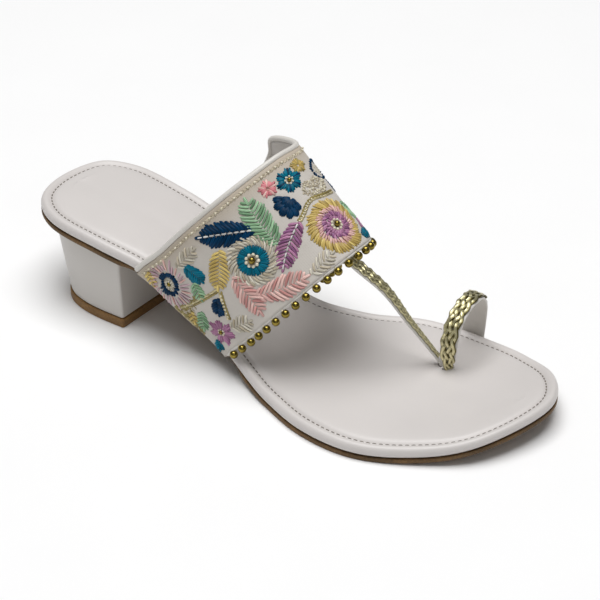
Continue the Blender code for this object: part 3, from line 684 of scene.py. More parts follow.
BAND = np.stack([band_column(share) for share in np.linspace(0, 1, BAND_COLUMNS + 1)], 1)
BAND_OUT = unit(np.cross(np.gradient(BAND, axis=1), np.gradient(BAND, axis=0)))
ACROSS = lengths(BAND[:, BAND_COLUMNS // 2])
print("band rows and columns:", BAND.shape[:2], "length across the foot", round(ACROSS[-1], 1), "mm")

# %% Places on the band
def on_band(across, along, lift=0.0):
    """Place and outward direction on the band's face, from mm across the foot and in from the back edge."""
    row = np.clip(np.interp(across, ACROSS, np.arange(len(ACROSS))), 0, len(ACROSS) - 1.001)
    share = (np.asarray(along) / BAND_WIDTH - BAND_TRIM) / (1 - BAND_TRIM)
    column = np.clip(share * BAND_COLUMNS, 0, BAND_COLUMNS - 0.001)
    i, j = row.astype(int), column.astype(int)
    u, v = (row - i)[..., None], (column - j)[..., None]

    def between(grid):
        return ((1 - u) * (1 - v) * grid[i, j] + u * (1 - v) * grid[i + 1, j]
                + (1 - u) * v * grid[i, j + 1] + u * v * grid[i + 1, j + 1])

    out = unit(between(BAND_OUT))
    return between(BAND) + out * (BAND_THICK / 2 + np.asarray(lift)[..., None]), out


band_middle, _ = on_band(ACROSS[-1:] / 2, np.array([BAND_WIDTH / 2]))
print("middle of the band's face:", band_middle[0].round(1), "mm")

# %% [markdown]
# The cloth is a plain-woven ivory cotton with a satin face, so it looks soft and a little lustrous. Its
# threads are about 0.4 mm apart; the weave is drawn at 0.9 mm so that it shows. The cloth turns beige
# towards the back edge, where a knotted line with seed beads runs along the piping.

# %% Ivory cloth, woven with a satin face
WEAVE_MM, WEAVE_DEPTH_MM, SLUB_MM = 0.9, 0.12, 9
BEIGE_FROM, BEIGE_FULL = 14.0, 3.5
# A wave texture turns by twenty times its Scale, in radians, for each unit across its straight bands.
ONE_WAVE = 2 * np.pi / 20
ivory_cloth, tree, shader = finish_named("ivory cotton cloth, woven with a satin face")
flat = node(tree, "ShaderNodeUVMap", uv_map="UVMap").outputs["UV"]
threads = {"Vector": flat, "Scale": ONE_WAVE / WEAVE_MM, "Distortion": 0.4}
warp = node(tree, "ShaderNodeTexWave", threads, bands_direction="X")
weft = node(tree, "ShaderNodeTexWave", threads, bands_direction="Y")
weave = node(tree, "ShaderNodeMath", {0: warp.outputs["Fac"], 1: weft.outputs["Fac"]}, operation="MULTIPLY")
slub = node(tree, "ShaderNodeTexNoise", {"Vector": flat, "Scale": 1 / SLUB_MM, "Detail": 4.0})
cloth_tone = node(tree, "ShaderNodeMix", {"Factor": slub.outputs["Fac"], "A": linear("#BDB7AF"),
                                          "B": linear("#D0CAC2")}, data_type="RGBA")
parts = node(tree, "ShaderNodeSeparateXYZ", {"Vector": flat})
beige = node(tree, "ShaderNodeMapRange", {"Value": parts.outputs["X"], "From Min": BEIGE_FROM,
                                          "From Max": BEIGE_FULL})
edge_tone = node(tree, "ShaderNodeMix", {"Factor": beige.outputs["Result"], "A": cloth_tone.outputs["Result"],
                                         "B": linear("#B8AC9B")}, data_type="RGBA")
tree.links.new(edge_tone.outputs["Result"], shader.inputs["Base Color"])
bump = node(tree, "ShaderNodeBump", {"Height": weave.outputs[0], "Strength": 0.3,
                                     "Distance": WEAVE_DEPTH_MM * MM})
tree.links.new(bump.outputs["Normal"], shader.inputs["Normal"])
shader.inputs["Roughness"].default_value = 0.62
shader.inputs["Sheen Weight"].default_value = 0.15
print("cloth:", ivory_cloth.name)

# %% Cloth and lining
CLOTH_OUT, CLOTH_THICK, LINING_IN, LINING_THICK = 0.55, 0.7, 0.4, 1.0


def cut_size(grid):
    """Width and length of the strip that a grid was cut from, in metres."""
    wide = max(lengths(row)[-1] for row in grid) * MM
    long = max(lengths(grid[:, k])[-1] for k in range(grid.shape[1])) * MM
    return wide, long


in_from_back = np.linspace(BAND_TRIM * BAND_WIDTH, BAND_WIDTH, BAND_COLUMNS + 1)
chart = np.stack(np.broadcast_arrays(in_from_back[None], ACROSS[:, None]), -1)
cloth_grid = BAND + BAND_OUT * CLOTH_OUT
band_cloth = skin("band_cloth", cloth_grid, chart)
wall(band_cloth, CLOTH_THICK)
dress(band_cloth, ivory_cloth, "band_fabric", "vamp_strap")
lining_grid = BAND - BAND_OUT * LINING_IN
band_lining = skin("band_lining", lining_grid, chart)
wall(band_lining, LINING_THICK)
dress(band_lining, lining_leather, "band_fabric", "vamp_strap")
print("cloth cut:", [round(v, 4) for v in cut_size(cloth_grid)], "m")

# %% [markdown]
# ## Piping and edge
# A rolled white leather piping closes the band's back edge, and a much finer white edge shows at the front.
# Both are cords swept along the band's edges: a ring of points is carried along the path without twisting.

# %% Cords along the band's edges
PIPING_R, PIPING_OUT, BINDING_R, BINDING_OUT = 1.25, 1.2, 0.7, 0.15
CORD_POINTS, CORD_END = 150, 0.4


def cord_rows(path, radius, sides):
    """Rings of a round cord along a path, closed to a point at both ends."""
    tangent = unit(np.gradient(path, axis=0))
    across = unit(np.cross(tangent[0], (0.3, 0.2, 1.0)))
    turn = np.linspace(0, 2 * np.pi, sides + 1)[:, None]
    rows = [np.repeat(path[:1] - tangent[:1] * radius * CORD_END, sides + 1, 0)]
    for point, along in zip(path, tangent):
        across = unit(across - along * across.dot(along))
        rows.append(point + radius * (np.cos(turn) * across + np.sin(turn) * np.cross(along, across)))
    rows.append(np.repeat(path[-1:] + tangent[-1:] * radius * CORD_END, sides + 1, 0))
    return rows


above_hem = slice(FINER * sum(BAND_STEPS[:3]), len(BAND) - FINER * sum(BAND_STEPS[-3:]))
back_edge, front_edge = BAND[above_hem, 0], BAND[above_hem, -1]
back_out = unit(back_edge - BAND[above_hem, 2])
front_out = unit(front_edge - BAND[above_hem, -3])
front_up = BAND_OUT[above_hem, -1]
piping_line = back_edge + back_out * PIPING_OUT
band_piping = skin("band_piping", cord_rows(evenly(piping_line, CORD_POINTS), PIPING_R, 12))
dress(band_piping, strip_leather, "piping_white", "strap_piping")
edge_line = front_edge + front_out * BINDING_OUT + front_up * BINDING_OUT
front_binding = skin("front_binding", cord_rows(evenly(edge_line, CORD_POINTS), BINDING_R, 10))
dress(front_binding, strip_leather, "piping_white")

# %% [markdown]
# ## Beads
# Small dark-gold balls hang off the front edge, five or six millimetres apart, each held by its own loop of
# gold thread. One ball is modelled from a sphere, flattened a little at its drilled ends, and copied along
# the edge. The plating is polished, so the balls mirror the light, and it has tarnished in places.

# %% Polished dark gold
TARNISH_MM = 2.2
bead_gold, tree, shader = finish_named("brass beads, polished and dark plated")
where = node(tree, "ShaderNodeTexCoord").outputs["Object"]
tarnish = node(tree, "ShaderNodeTexNoise", {"Vector": where, "Scale": 1 / (TARNISH_MM * MM), "Detail": 3.0})
tone = node(tree, "ShaderNodeMix", {"Factor": tarnish.outputs["Fac"], "A": linear("#564A1A"),
                                    "B": linear("#A8954A")}, data_type="RGBA")
tree.links.new(tone.outputs["Result"], shader.inputs["Base Color"])
polish = node(tree, "ShaderNodeMapRange", {"Value": tarnish.outputs["Fac"], "To Min": 0.1, "To Max": 0.24})
tree.links.new(polish.outputs["Result"], shader.inputs["Roughness"])
shader.inputs["Metallic"].default_value = 1.0
# Its darker colour is painted into each stitch's flanks as shade.
gold_thread = thread_finish("gold metal thread, wound", "#F1E4B8", "#7A6C3A", 0.5, 0.32, 0.5)
print("bead finishes:", bead_gold.name, "|", gold_thread.name)

# %% One ball, copied along the edge
BEAD_R, BEAD_PITCH, BEAD_CLEAR = 1.75, 5.4, 0.1
DRILLED_FLAT = 0.97


def balls(name, places, radii, finish, slot, *nodes, rings):
    """One piece of many balls at places in millimetres; each is a copy of one sphere."""
    bpy.ops.object.select_all(action="DESELECT")
    bpy.ops.mesh.primitive_uv_sphere_add(segments=2 * rings, ring_count=rings, radius=1.0)
    piece = bpy.context.object
    one = np.array([v.co for v in piece.data.vertices])
    one[:, 2] = np.clip(one[:, 2], -DRILLED_FLAT, DRILLED_FLAT)
    # A sphere's faces come in an order that changes from run to run, so they are sorted.
    faces = sorted(tuple(face.vertices) for face in piece.data.polygons)
    points = np.asarray(places)[:, None] + one[None] * np.asarray(radii)[:, None, None]
    piece.data, old = copies(name, points, faces), piece.data
    bpy.data.meshes.remove(old)
    piece.name = name
    dress(piece, finish, slot, *nodes)


bead_line = evenly(front_edge + front_out * (BEAD_R + GAP + BEAD_CLEAR), 2001)
bead_run = lengths(bead_line)[-1]
bead_count = int((bead_run - 2 * BEAD_R) / BEAD_PITCH)
bead_at = (bead_run - (bead_count - 1) * BEAD_PITCH) / 2 + BEAD_PITCH * np.arange(bead_count)
bead_places = at_lengths(bead_line, bead_at)
balls("edge_beads", bead_places, np.full(bead_count, BEAD_R), bead_gold, "bead_gold", "bead_trim", rings=10)
print("beads:", bead_count)

# %% Thread loops that hold the beads
LOOP_WIDTH, LOOP_HEIGHT, LOOP_BOW = 0.55, 0.4, 0.25
LOOP_FROM_UP, LOOP_FROM_BACK, LOOP_TO_UP = 0.45, 0.5, 0.7
nearest = np.argmin(np.linalg.norm(bead_places[:, None] - front_edge[None], axis=-1), axis=1)
loop_up, loop_out = front_up[nearest], front_out[nearest]
held_from = front_edge[nearest] + loop_up * LOOP_FROM_UP - loop_out * LOOP_FROM_BACK
held_to = bead_places + loop_up * LOOP_TO_UP
BOW = 4 * STATIONS * (1 - STATIONS)
paths = held_from[:, None] + (held_to - held_from)[:, None] * STATIONS[None, :, None]
paths = paths + loop_up[:, None] * (LOOP_BOW * BOW)[None, :, None]
normals = np.repeat(loop_up[:, None], len(STATIONS), 1)
shades = hand.uniform(0.6, 1, bead_count)
laid_threads("bead_loops", paths, normals, np.full(bead_count, LOOP_WIDTH), np.full(bead_count, LOOP_HEIGHT),
             shades, gold_thread, "bead_gold")

# %% [markdown]
# ## Plaited straps
# The toe ring and the centre strap are white leather strips with a flat plait of gold yarn sewn on their
# outer face. A strip is a rounded section carried along a path with its own width direction. In a plait of
# N strands each strand swings from edge to edge and passes over one neighbour and under the next.

# %% Strips along a path
STRIP_THICK, STRIP_POINTS = 1.1, 25
SQUARE_WIDE, SQUARE_TALL = 0.35, 0.55  # powers that square a strip's section: less than one is squarer


def strap_frame(rows, steps):
    """Centres, tangents, width directions and half-widths along a strap."""
    rows = smooth(rows, steps)
    tangent = unit(np.gradient(rows[:, :3], axis=0))
    width = np.c_[rows[:, 3:5], np.zeros(len(rows))]
    width = unit(width - tangent * (width * tangent).sum(1)[:, None])
    return rows[:, :3], tangent, width, rows[:, 5]


def part_of(strap, start, stop, step):
    """A strap's frame from start to stop millimetres short of its ends, in even steps."""
    run = lengths(strap[0])
    at = np.linspace(start, run[-1] - stop, int((run[-1] - stop - start) / step) + 1)
    picked = [np.stack([np.interp(at, run, part[:, k]) for k in range(3)], 1) for part in strap[:3]]
    return picked[0], unit(picked[1]), unit(picked[2]), np.interp(at, run, strap[3]), at


def strip_rows(strap, side):
    """A rounded flat section carried along a strap, closed at both ends."""
    centre, tangent, width, half = strap
    up = np.cross(tangent, width) * side
    turn = np.linspace(0, 2 * np.pi, STRIP_POINTS)[:, None]
    wide = np.sign(np.cos(turn)) * abs(np.cos(turn)) ** SQUARE_WIDE
    tall = np.sign(np.sin(turn)) * abs(np.sin(turn)) ** SQUARE_TALL * STRIP_THICK / 2
    rows = [c + w * h * wide + u * tall for c, w, u, h in zip(centre, width, up, half)]
    return [np.repeat(centre[:1], STRIP_POINTS, 0), *rows, np.repeat(centre[-1:], STRIP_POINTS, 0)]


print("strips:", STRIP_THICK, "mm thick,", STRIP_POINTS - 1, "points round")

# %% [markdown]
# The yarn is a bundle of threads wrapped in thin metal, so fine lines run along it. Each strand is painted
# bright on its crown and olive-dark at its flanks, where strands cross, as painted highlight and painted
# shade, and random flecks are painted brighter as glints. The lines are near 0.3 mm apart on the real yarn,
# and are drawn at 0.55 mm so that they show.

# %% Gold yarn, plaited
YARN_THREAD_MM, YARN_DEPTH_MM, PAINTED_GLINT_MM = 0.55, 0.12, 1.6
PAINTED_CROWN_PER_MM = 2 / 1.7  # radians from dark to bright and back, for each millimetre round a strand
yarn_gold, tree, shader = finish_named("antique gold yarn, metal-wrapped and plaited")
lie = node(tree, "ShaderNodeUVMap", uv_map="UVMap").outputs["UV"]
fibres = node(tree, "ShaderNodeTexWave", {"Vector": lie, "Scale": ONE_WAVE / YARN_THREAD_MM,
                                          "Distortion": 1.2, "Detail": 2.0}, bands_direction="Y")
# Random flecks painted brighter in the metal's colour: painted glints.
painted_glint = node(tree, "ShaderNodeTexNoise", {"Vector": lie, "Scale": 1 / PAINTED_GLINT_MM, "Detail": 2.0})
mixed = node(tree, "ShaderNodeMath", {0: fibres.outputs["Fac"], 1: painted_glint.outputs["Fac"]},
             operation="MULTIPLY")
spread = node(tree, "ShaderNodeMapRange", {"Value": mixed.outputs[0], "From Min": 0.02, "From Max": 0.42,
                                           "To Min": 0.42})
# Each strand is painted bright on its crown and dark at its flanks: painted highlight and painted shade.
round_over = node(tree, "ShaderNodeSeparateXYZ", {"Vector": lie}).outputs["Y"]
painted_crown_shading = node(tree, "ShaderNodeMath", {0: round_over, 1: PAINTED_CROWN_PER_MM}, operation="MULTIPLY")
painted_crown_shading = node(tree, "ShaderNodeMath", {0: painted_crown_shading.outputs[0]}, operation="SINE")
painted_crown_shading = node(tree, "ShaderNodeMapRange", {"Value": painted_crown_shading.outputs[0], "From Min": 0.25, "From Max": 0.95})
bright = node(tree, "ShaderNodeMath", {0: spread.outputs["Result"], 1: painted_crown_shading.outputs["Result"]},
              operation="MULTIPLY")
tone = node(tree, "ShaderNodeMix", {"Factor": bright.outputs[0], "A": linear("#5A5120"),
                                    "B": linear("#FAF2C4")}, data_type="RGBA")
tree.links.new(tone.outputs["Result"], shader.inputs["Base Color"])
bump = node(tree, "ShaderNodeBump", {"Height": fibres.outputs["Fac"], "Strength": 0.55,
                                     "Distance": YARN_DEPTH_MM * MM})
tree.links.new(bump.outputs["Normal"], shader.inputs["Normal"])
shader.inputs["Metallic"].default_value = 0.9
shader.inputs["Roughness"].default_value = 0.3
print("plait finish:", yarn_gold.name)

# %% Strands over and under
STRAND_POINTS = 11
PLAIT_MARGIN, STRAND_INSIDE = 0.1, 0.8  # millimetres kept to the strip's edge, share of a strand kept inside
STRAND_LIE, STRAND_LIFT = 0.62, 0.4  # shares of a strand's thickness: above the strip, and up or down
SWING_ROUND = 0.25  # share of the swing that slows at the edges
PATTERN_SHIFT = 37  # millimetres between the strands on the yarn's pattern


def plait_rows(strap, side, strands, swing_mm, half, flat_mm, thick):
    """Rings of each strand of a flat plait on a strap, with their places along and round the strand."""
    centre, tangent, width, halves, run = strap
    up = np.cross(tangent, width) * side
    flat = flat_mm * np.minimum(1, halves / half)
    reach = np.minimum(halves - PLAIT_MARGIN, half) - flat / 2 * STRAND_INSIDE
    turn = np.linspace(0, 2 * np.pi, STRAND_POINTS)
    around = np.linspace(0, np.pi * flat_mm, STRAND_POINTS)
    made = []
    for k in range(strands):
        phase = (run / swing_mm + k / strands) % 1.0
        going = phase < 0.5
        q = np.where(going, 2 * phase, 2 * phase - 1)
        swing = np.where(going, 2 * q - 1, 1 - 2 * q)
        swing = np.sin(swing * np.pi / 2) * SWING_ROUND + swing * (1 - SWING_ROUND)
        over = np.where(going, -np.cos(np.pi * strands * q), np.cos(np.pi * strands * (1 - q)))
        over = over * np.sin(np.pi * q) ** 0.5
        lift = STRIP_THICK / 2 + thick * (STRAND_LIE + STRAND_LIFT * over)
        path = centre + width * (swing * reach)[:, None] + up * lift[:, None]
        way = unit(np.gradient(path, axis=0))
        flank = unit(np.cross(up, way))
        top = np.cross(way, flank)
        rows = [p + f * w / 2 * np.cos(turn)[:, None] + t * thick / 2 * np.sin(turn)[:, None]
                for p, f, t, w in zip(path, flank, top, flat)]
        rows = [np.repeat(path[:1], STRAND_POINTS, 0), *rows, np.repeat(path[-1:], STRAND_POINTS, 0)]
        along = np.r_[lengths(path)[0], lengths(path), lengths(path)[-1]] + PATTERN_SHIFT * k
        made.append((rows, np.stack(np.broadcast_arrays(along[:, None], around[None]), -1)))
    return made


def plait(name, strap, side, slot, cad_node, **sizes):
    """All strands of a plait, joined as one piece."""
    strands = plait_rows(strap, side, **sizes)
    pieces = [skin(f"{name}_{k}", rows, flat) for k, (rows, flat) in enumerate(strands)]
    bpy.ops.object.select_all(action="DESELECT")
    for piece in pieces:
        piece.select_set(True)
    bpy.context.view_layer.objects.active = pieces[0]
    bpy.ops.object.join()
    joined = bpy.context.object
    joined.name = joined.data.name = name
    dress(joined, yarn_gold, slot, cad_node)
    print(f"{name}: {len(pieces)} strands")


print("points round a strand:", STRAND_POINTS - 1)

# %% [markdown]
# The toe ring rises from a slot between the toes, arches over the big toe and comes down outside the inner
# rim, where it is tucked under the footbed. The plait ends at the rim and in the slot.

# %% Toe ring
# Centre, width direction in plan and half-width of the strip at each station.
RING_ROWS = ((189.8, 16.6, 2.7, 0.46, 0.89, 2.3), (189.8, 16.6, 7.8, 0.46, 0.89, 2.3),
             (190.2, 15.6, 12.5, 0.85, 0.50, 3.1), (190.5, 15.6, 18.9, 1.0, 0.10, 3.65),
             (190.3, 18.9, 26.1, 1.0, 0.0, 3.7), (190.0, 24.8, 30.3, 1.0, 0.0, 3.7),
             (189.7, 32.2, 31.5, 1.0, 0.0, 3.7), (188.4, 39.4, 29.0, 1.0, 0.0, 3.7),
             (186.1, 44.8, 22.6, 1.0, 0.0, 4.6), (183.8, 47.4, 13.0, 1.0, 0.0, 5.4))
RING_STEPS = (2, 5, 5, 4, 4, 4, 4, 4, 4, 3, 2, 2, 2)
LEG_X, LEG_HALF, LEG_TUCK = 182.9, 5.4, 8.0
leg_edge = float(edge_y(LEG_X, 1))
leg_z = float(underside(LEG_X)) + OUTSOLE_THICK + GAP + STRIP_THICK / 2
leg_out = leg_edge + BAND_CLEAR + STRIP_THICK / 2
leg_places = ((leg_out, leg_z + 2.6), (leg_out + 0.05, leg_z + 1.1), (leg_edge - 1.2, leg_z),
              (leg_edge - LEG_TUCK, leg_z))
ring_leg = [(LEG_X, y, z, 1.0, 0.0, LEG_HALF) for y, z in leg_places]
ring_strap = strap_frame((*RING_ROWS, *ring_leg), [3 * count for count in RING_STEPS])
toe_ring_strip = skin("toe_ring_strip", strip_rows(ring_strap, -1))
dress(toe_ring_strip, strip_leather, "strip_white", "toe_ring")
plait("toe_ring_plait", part_of(ring_strap, 4.0, 16.0, 0.5), -1, "braid_gold", "toe_ring_braid",
      strands=5, swing_mm=29.0, half=3.75, flat_mm=1.95, thick=0.95)

# %% [markdown]
# The centre strap is sewn under the band's front edge and runs down between the toes into its own slot,
# turning almost edge-on at its foot. Its plait is finer and flatter than the ring's.

# %% Centre strap
# Centre, width direction in plan and half-width of the strip at each station.
CENTRE_ROWS = ((166.4, 4.6, 41.0, -0.10, 0.99, 2.6), (174.8, 9.8, 26.6, -0.38, 0.92, 2.2),
               (181.8, 14.2, 15.2, -0.52, 0.85, 1.8), (186.1, 16.8, 7.6, -0.58, 0.81, 1.5),
               (186.4, 16.9, 2.7, -0.58, 0.81, 1.4))
CENTRE_STEPS = (2, 2, 1, 3, 3, 3, 3, 2)
# Where the sewn end lies: on past the band's front edge, and down from its middle surface.
CENTRE_START, SEWN_HALF, SEWN_Y = ((-10.0, 3.9), (-4.0, 3.9), (0.0, 4.0), (2.4, 4.5)), 2.8, 0.5
BAND_TOP_FROM = 40  # above this height the front edge is the band's top, not its ends
front_rows = BAND[::FINER, -1]
start = FINER * round(np.argmin(abs(front_rows[:, 1] - SEWN_Y) + 100 * (front_rows[:, 2] < BAND_TOP_FROM)))
start_on = unit(BAND[start, -1] - BAND[start, -2])
start_across = unit(BAND[start + FINER, -1] - BAND[start - FINER, -1])
start_up = np.cross(start_on, start_across)
sewn_rows = [(*(BAND[start, -1] + start_on * on - start_up * down), *start_across[:2], SEWN_HALF)
             for on, down in CENTRE_START]
centre_strap = strap_frame((*sewn_rows, *CENTRE_ROWS), [4 * count for count in CENTRE_STEPS])
centre_strip = skin("centre_strip", strip_rows(centre_strap, 1))
dress(centre_strip, strip_leather, "strip_white", "centre_strap")
plait("centre_plait", part_of(centre_strap, 2.0, 8.4, 0.5), 1, "braid_gold", "centre_strap_braid",
      strands=5, swing_mm=22.0, half=2.6, flat_mm=1.15, thick=0.75)

# %% [markdown]
# The two strap ends dive into slits between the toes. Each slit is a narrow dark oval, a hair above the
# footbed and a little wider than the strap that goes through it: its dark is the cut leather's edge, and
# painted shade for the opening that the strap goes into.

# %% The slits between the toes
BED_TOP, SLIT_HALF_WIDE = 4.88, 0.85
# Share of the oval and height above the footbed's top, from under it to the middle of its face.
SLIT_SECTION = ((0.0, -0.5), (1.0, -0.5), (1.0, 0.0), (0.92, 0.07), (0.0, 0.07))
# The dark colour is partly the cut leather edge and partly painted shade in the slot's opening.
slit_edge_and_painted_shade = tan_sheet("raw leather edge, with painted slot shade", "#4A433C", "#2A2520")


def slit(name, middle, way, half_long):
    """A narrow oval in the footbed's top, along a strap's width, dark with the cut edge and painted shade."""
    turn = np.linspace(0, 2 * np.pi, 33)
    way = unit(np.array(way))
    across = np.array((-way[1], way[0])) * SLIT_HALF_WIDE
    oval = np.outer(np.cos(turn), way * half_long) + np.outer(np.sin(turn), across)
    rows = []
    for share, height in SLIT_SECTION:
        flat = np.array(middle) + oval * share
        rows.append(np.c_[flat, underside(flat[:, 0]) + BED_LIFT + BED_TOP + height])
    piece = skin(name, rows)
    dress(piece, slit_edge_and_painted_shade, "footbed_white")


slit("ring_slit", (189.8, 16.6), (0.46, 0.89), 2.75)
slit("centre_slit", (186.15, 16.8), (-0.58, 0.81), 1.9)

# %% [markdown]
# ## Embroidery
# The band is worked by hand in coloured silk floss, with leaves, fern sprays and round flowers between gold
# stems. The motifs are charted in millimetres, across the foot from the outer hem and in from the back edge,
# and each one is a small set of rules for where its stitches start and end. All stitches of one colour
# become one mesh. Silk gleams along each stitch, and deep dyes take some of that gleam away.

# %% The floss
# Colour of the crown, colour of the flanks; the flank colour is the dye's deeper tone and painted shade
# between stitches.
FLOSS = {
    "teal": ("#077C97", "#022B39"),
    "navy": ("#0A4066", "#010A18"),
    "green": ("#AFD6AD", "#33603E"),
    "lilac": ("#C68BB0", "#522448"),
    "yellow": ("#EFD786", "#7E6020"),
    "pink": ("#FAD6CC", "#A06462"),
    "ivory": ("#F1ECDD", "#786D53"),
    "beige": ("#CFC4AE", "#726750"),
    "olive": ("#B0A062", "#443B1A"),
    "silver": ("#F4F3F0", "#8C8A86"),
    "moss": ("#90BA8F", "#2C5036"),
    "rose": ("#E8ACA4", "#7C4246"),
    "plum": ("#A06695", "#3E183C"),
    "ochre": ("#D8BC6E", "#6A5422"),
    "blush": ("#E3C7CF", "#8D6A77"),
    "straw": ("#DDD2BC", "#8F8268"),
    "coral": ("#F39AA0", "#8C3E4A"),
}
SILK_GLEAM, SILK_ROUGHNESS = 0.3, 0.33
DEEP_DYE_GLEAM = {"teal": 0.12, "navy": 0.1}
floss = {}
for key, (pale, deep) in FLOSS.items():
    gleam = DEEP_DYE_GLEAM.get(key, SILK_GLEAM)
    floss[key] = thread_finish(f"silk floss, dyed {key}, twisted and laid", pale, deep, gleam, SILK_ROUGHNESS)
floss["gold"] = gold_thread
print("floss colours:", ", ".join(floss))

# %% One stitch on the chart
worked = {key: [] for key in floss}
knots, pearls = [], []


def stitch(key, start, stop, width=1.35, height=0.7, lift=0.0, bend=0.0):
    """One laid stitch between two places on the chart, bent sideways by so many millimetres."""
    width, height = width * hand.uniform(0.9, 1.1), height * hand.uniform(0.85, 1.15)
    worked[key].append((*start, *stop, width, height, lift, bend))


def charted():
    """How many stitches are on the chart so far."""
    return sum(len(rows) for rows in worked.values())


def shade_of(key, second, step):
    """The second shade of floss for every third stitch, where a motif has one."""
    return second if second and step % 3 == 2 else key


def turn(vector, degrees):
    """A chart vector turned by an angle."""
    c, s = np.cos(np.radians(degrees)), np.sin(np.radians(degrees))
    return np.array((c * vector[0] - s * vector[1], s * vector[0] + c * vector[1]))


print("one millimetre along, turned by a quarter:", turn((1, 0), 90).round(3))

# %% [markdown]
# The outer side is worked as the real band shows it: a blue-eyed flower in a swirl of ivory, with a dark
# leaf, a green, a lilac and a yellow one round it, two pink sprays below, and a yellow and lilac flower near
# the crest. A round flower is wheels of stitches, one in another, with a beaded eye.

# %% Wheels of stitches, and the blue flower
WHEEL_JITTER = 50 / 360  # share of the step between two stitches by which one may stray
EYE_BEAD, EYE_RING, EYE_PEARL = 0.52, 0.86, 0.26  # shares of an eye's radius


def wheel(key, centre, inner, outer, count, swirl, thick=1.2, ragged=0.06, first=0.0, lift=0.0, bend=0.0,
          second=None, oval=(1, 1), tilt=0.0):
    """A ring of stitches from an inner to an outer circle or oval, slanted by a swirl in degrees."""
    for k in range(count):
        degrees = 360 * (k + first) / count + hand.uniform(-1, 1) * 360 * WHEEL_JITTER / count
        start = turn(turn((inner * hand.uniform(1 - ragged, 1 + ragged), 0), degrees) * oval, tilt)
        stop = turn(turn((outer * hand.uniform(1 - ragged, 1 + ragged), 0), degrees + swirl) * oval, tilt)
        stitch(shade_of(key, second, k), centre + start, centre + stop, thick, lift=lift, bend=bend)


def eye(centre, radius, count=9):
    """The beaded eye of a flower: a gold bead in a ring of small pale ones."""
    knots.append((*centre, radius * EYE_BEAD))
    for k in range(count):
        pearls.append((*(centre + turn((radius * EYE_RING, 0), 360 * k / count)), radius * EYE_PEARL))


BLUE_FLOWER = np.array((57.0, 29.2))
wheel("ivory", BLUE_FLOWER, 6.3, 9.4, 30, -20, thick=1.15, bend=0.3, second="straw")
wheel("ivory", BLUE_FLOWER, 8.4, 10.9, 30, -14, thick=1.1, first=0.5, bend=0.3, second="straw")
wheel("teal", BLUE_FLOWER, 2.7, 6.7, 36, -8, thick=1.25, ragged=0.03, lift=0.1)
eye(BLUE_FLOWER, 2.9)
print("stitches in the blue flower:", charted())

# %% Leaves and sprays, and those round the blue flower
SPINE_POINTS = 41
SIDES_END, TIP_STARTS, SWELL_STARTS = 0.93, 0.84, 0.12  # shares of a leaf's length
SLANT_BEHIND = 0.25  # share of a stitch's slant that lies behind the place where it crosses the spine
LEAF_BEND, ROOT_ACROSS = 0.3, 0.3
RIB_PITCH, RIB_LONG, RIB_WIDTH, RIB_HEIGHT, RIB_LIFT = 2.5, 2.1, 0.8, 0.4, 0.5


def leaf(key, base, tip, width, bend=0.0, pitch=1.75, lean=0.8, rib=None, thick=1.45, fullness=0.6,
         second=None):
    """A leaf of slanting stitches from its middle line out and on towards its tip, the two sides in turn."""
    base, tip = np.array(base, float), np.array(tip, float)
    control = (base + tip) / 2 + turn(unit(tip - base), 90) * 2 * bend
    shares = np.linspace(0, 1, SPINE_POINTS)[:, None]
    spine = (1 - shares) ** 2 * base + 2 * shares * (1 - shares) * control + shares**2 * tip
    run = lengths(spine)[-1]
    for step, at in enumerate(np.arange(0.2, run * SIDES_END, pitch / 2)):
        swell = np.sin(np.pi * min(1, SWELL_STARTS + (1 - SWELL_STARTS) * at / run)) ** fullness
        reach = width / 2 * swell * hand.uniform(0.92, 1.1)
        behind, here, ahead = at_lengths(spine, [max(0, at - 0.5), at, min(run, at + 0.5)])
        way = unit(ahead - behind)
        side = 1 if step % 2 else -1
        flank = turn(way, 90 * side)
        slant = lean * hand.uniform(0.88, 1.12)
        root = here - flank * ROOT_ACROSS - way * slant * reach * SLANT_BEHIND
        end = here + flank * reach + way * reach * slant * (1 - SLANT_BEHIND)
        stitch(shade_of(key, second, step), root, end, thick, bend=LEAF_BEND * side)
    stitch(key, at_lengths(spine, [run * TIP_STARTS])[0], tip + unit(tip - base), thick)
    if rib:
        for at in np.arange(0.6, run - 1, RIB_PITCH):
            a, b = at_lengths(spine, [at, min(run, at + RIB_LONG)])
            stitch(rib, a, b, RIB_WIDTH, RIB_HEIGHT, RIB_LIFT)


leaf("navy", (65.4, 19.8), (45.8, 7.4), 11.4, bend=0.2, pitch=1.6, rib="silver", thick=1.8, fullness=0.8)
leaf("green", (69.2, 30.0), (71.2, 7.4), 11.4, bend=-1.0, pitch=1.6, thick=1.35, second="moss")
leaf("lilac", (80.2, 28.7), (63.2, 40.2), 9.4, bend=0.8, pitch=1.5, lean=0.75, rib="silver", thick=1.35,
     second="plum")
leaf("yellow", (49.2, 17.4), (36.8, 29.4), 9.4, bend=-0.4, pitch=1.65, lean=0.6, thick=1.4)
leaf("pink", (45.6, 29.6), (44.6, 48.8), 9.8, bend=-0.5, pitch=1.8, lean=0.9, thick=1.35, second="rose")
leaf("pink", (48.6, 41.4), (69.2, 48.2), 10.5, bend=0.8, pitch=1.8, lean=0.9, thick=1.35, second="rose")
leaf("ivory", (70.6, 48.8), (83.0, 47.0), 7.4, pitch=1.9, lean=0.9, thick=1.15, second="straw")
leaf("ivory", (27.4, 44.8), (38.4, 47.6), 8.2, pitch=1.8, thick=1.15, second="straw")
print("stitches with the leaves round it:", charted())

# %% The yellow flower, small flowers of clumped petals and a shell of lobes
PETAL_ROUND = 0.2  # share by which a petal's outermost stitches are shorter than its middle one
LOBE_REACH, LOBE_ROUND, LOBE_SPREAD = 1.1, 0.3, 0.48
LOBE_FROM, LOBE_LOWER_END, LOBE_UPPER_START, LOBE_LIFT = 0.06, 0.6, 0.5, 0.1


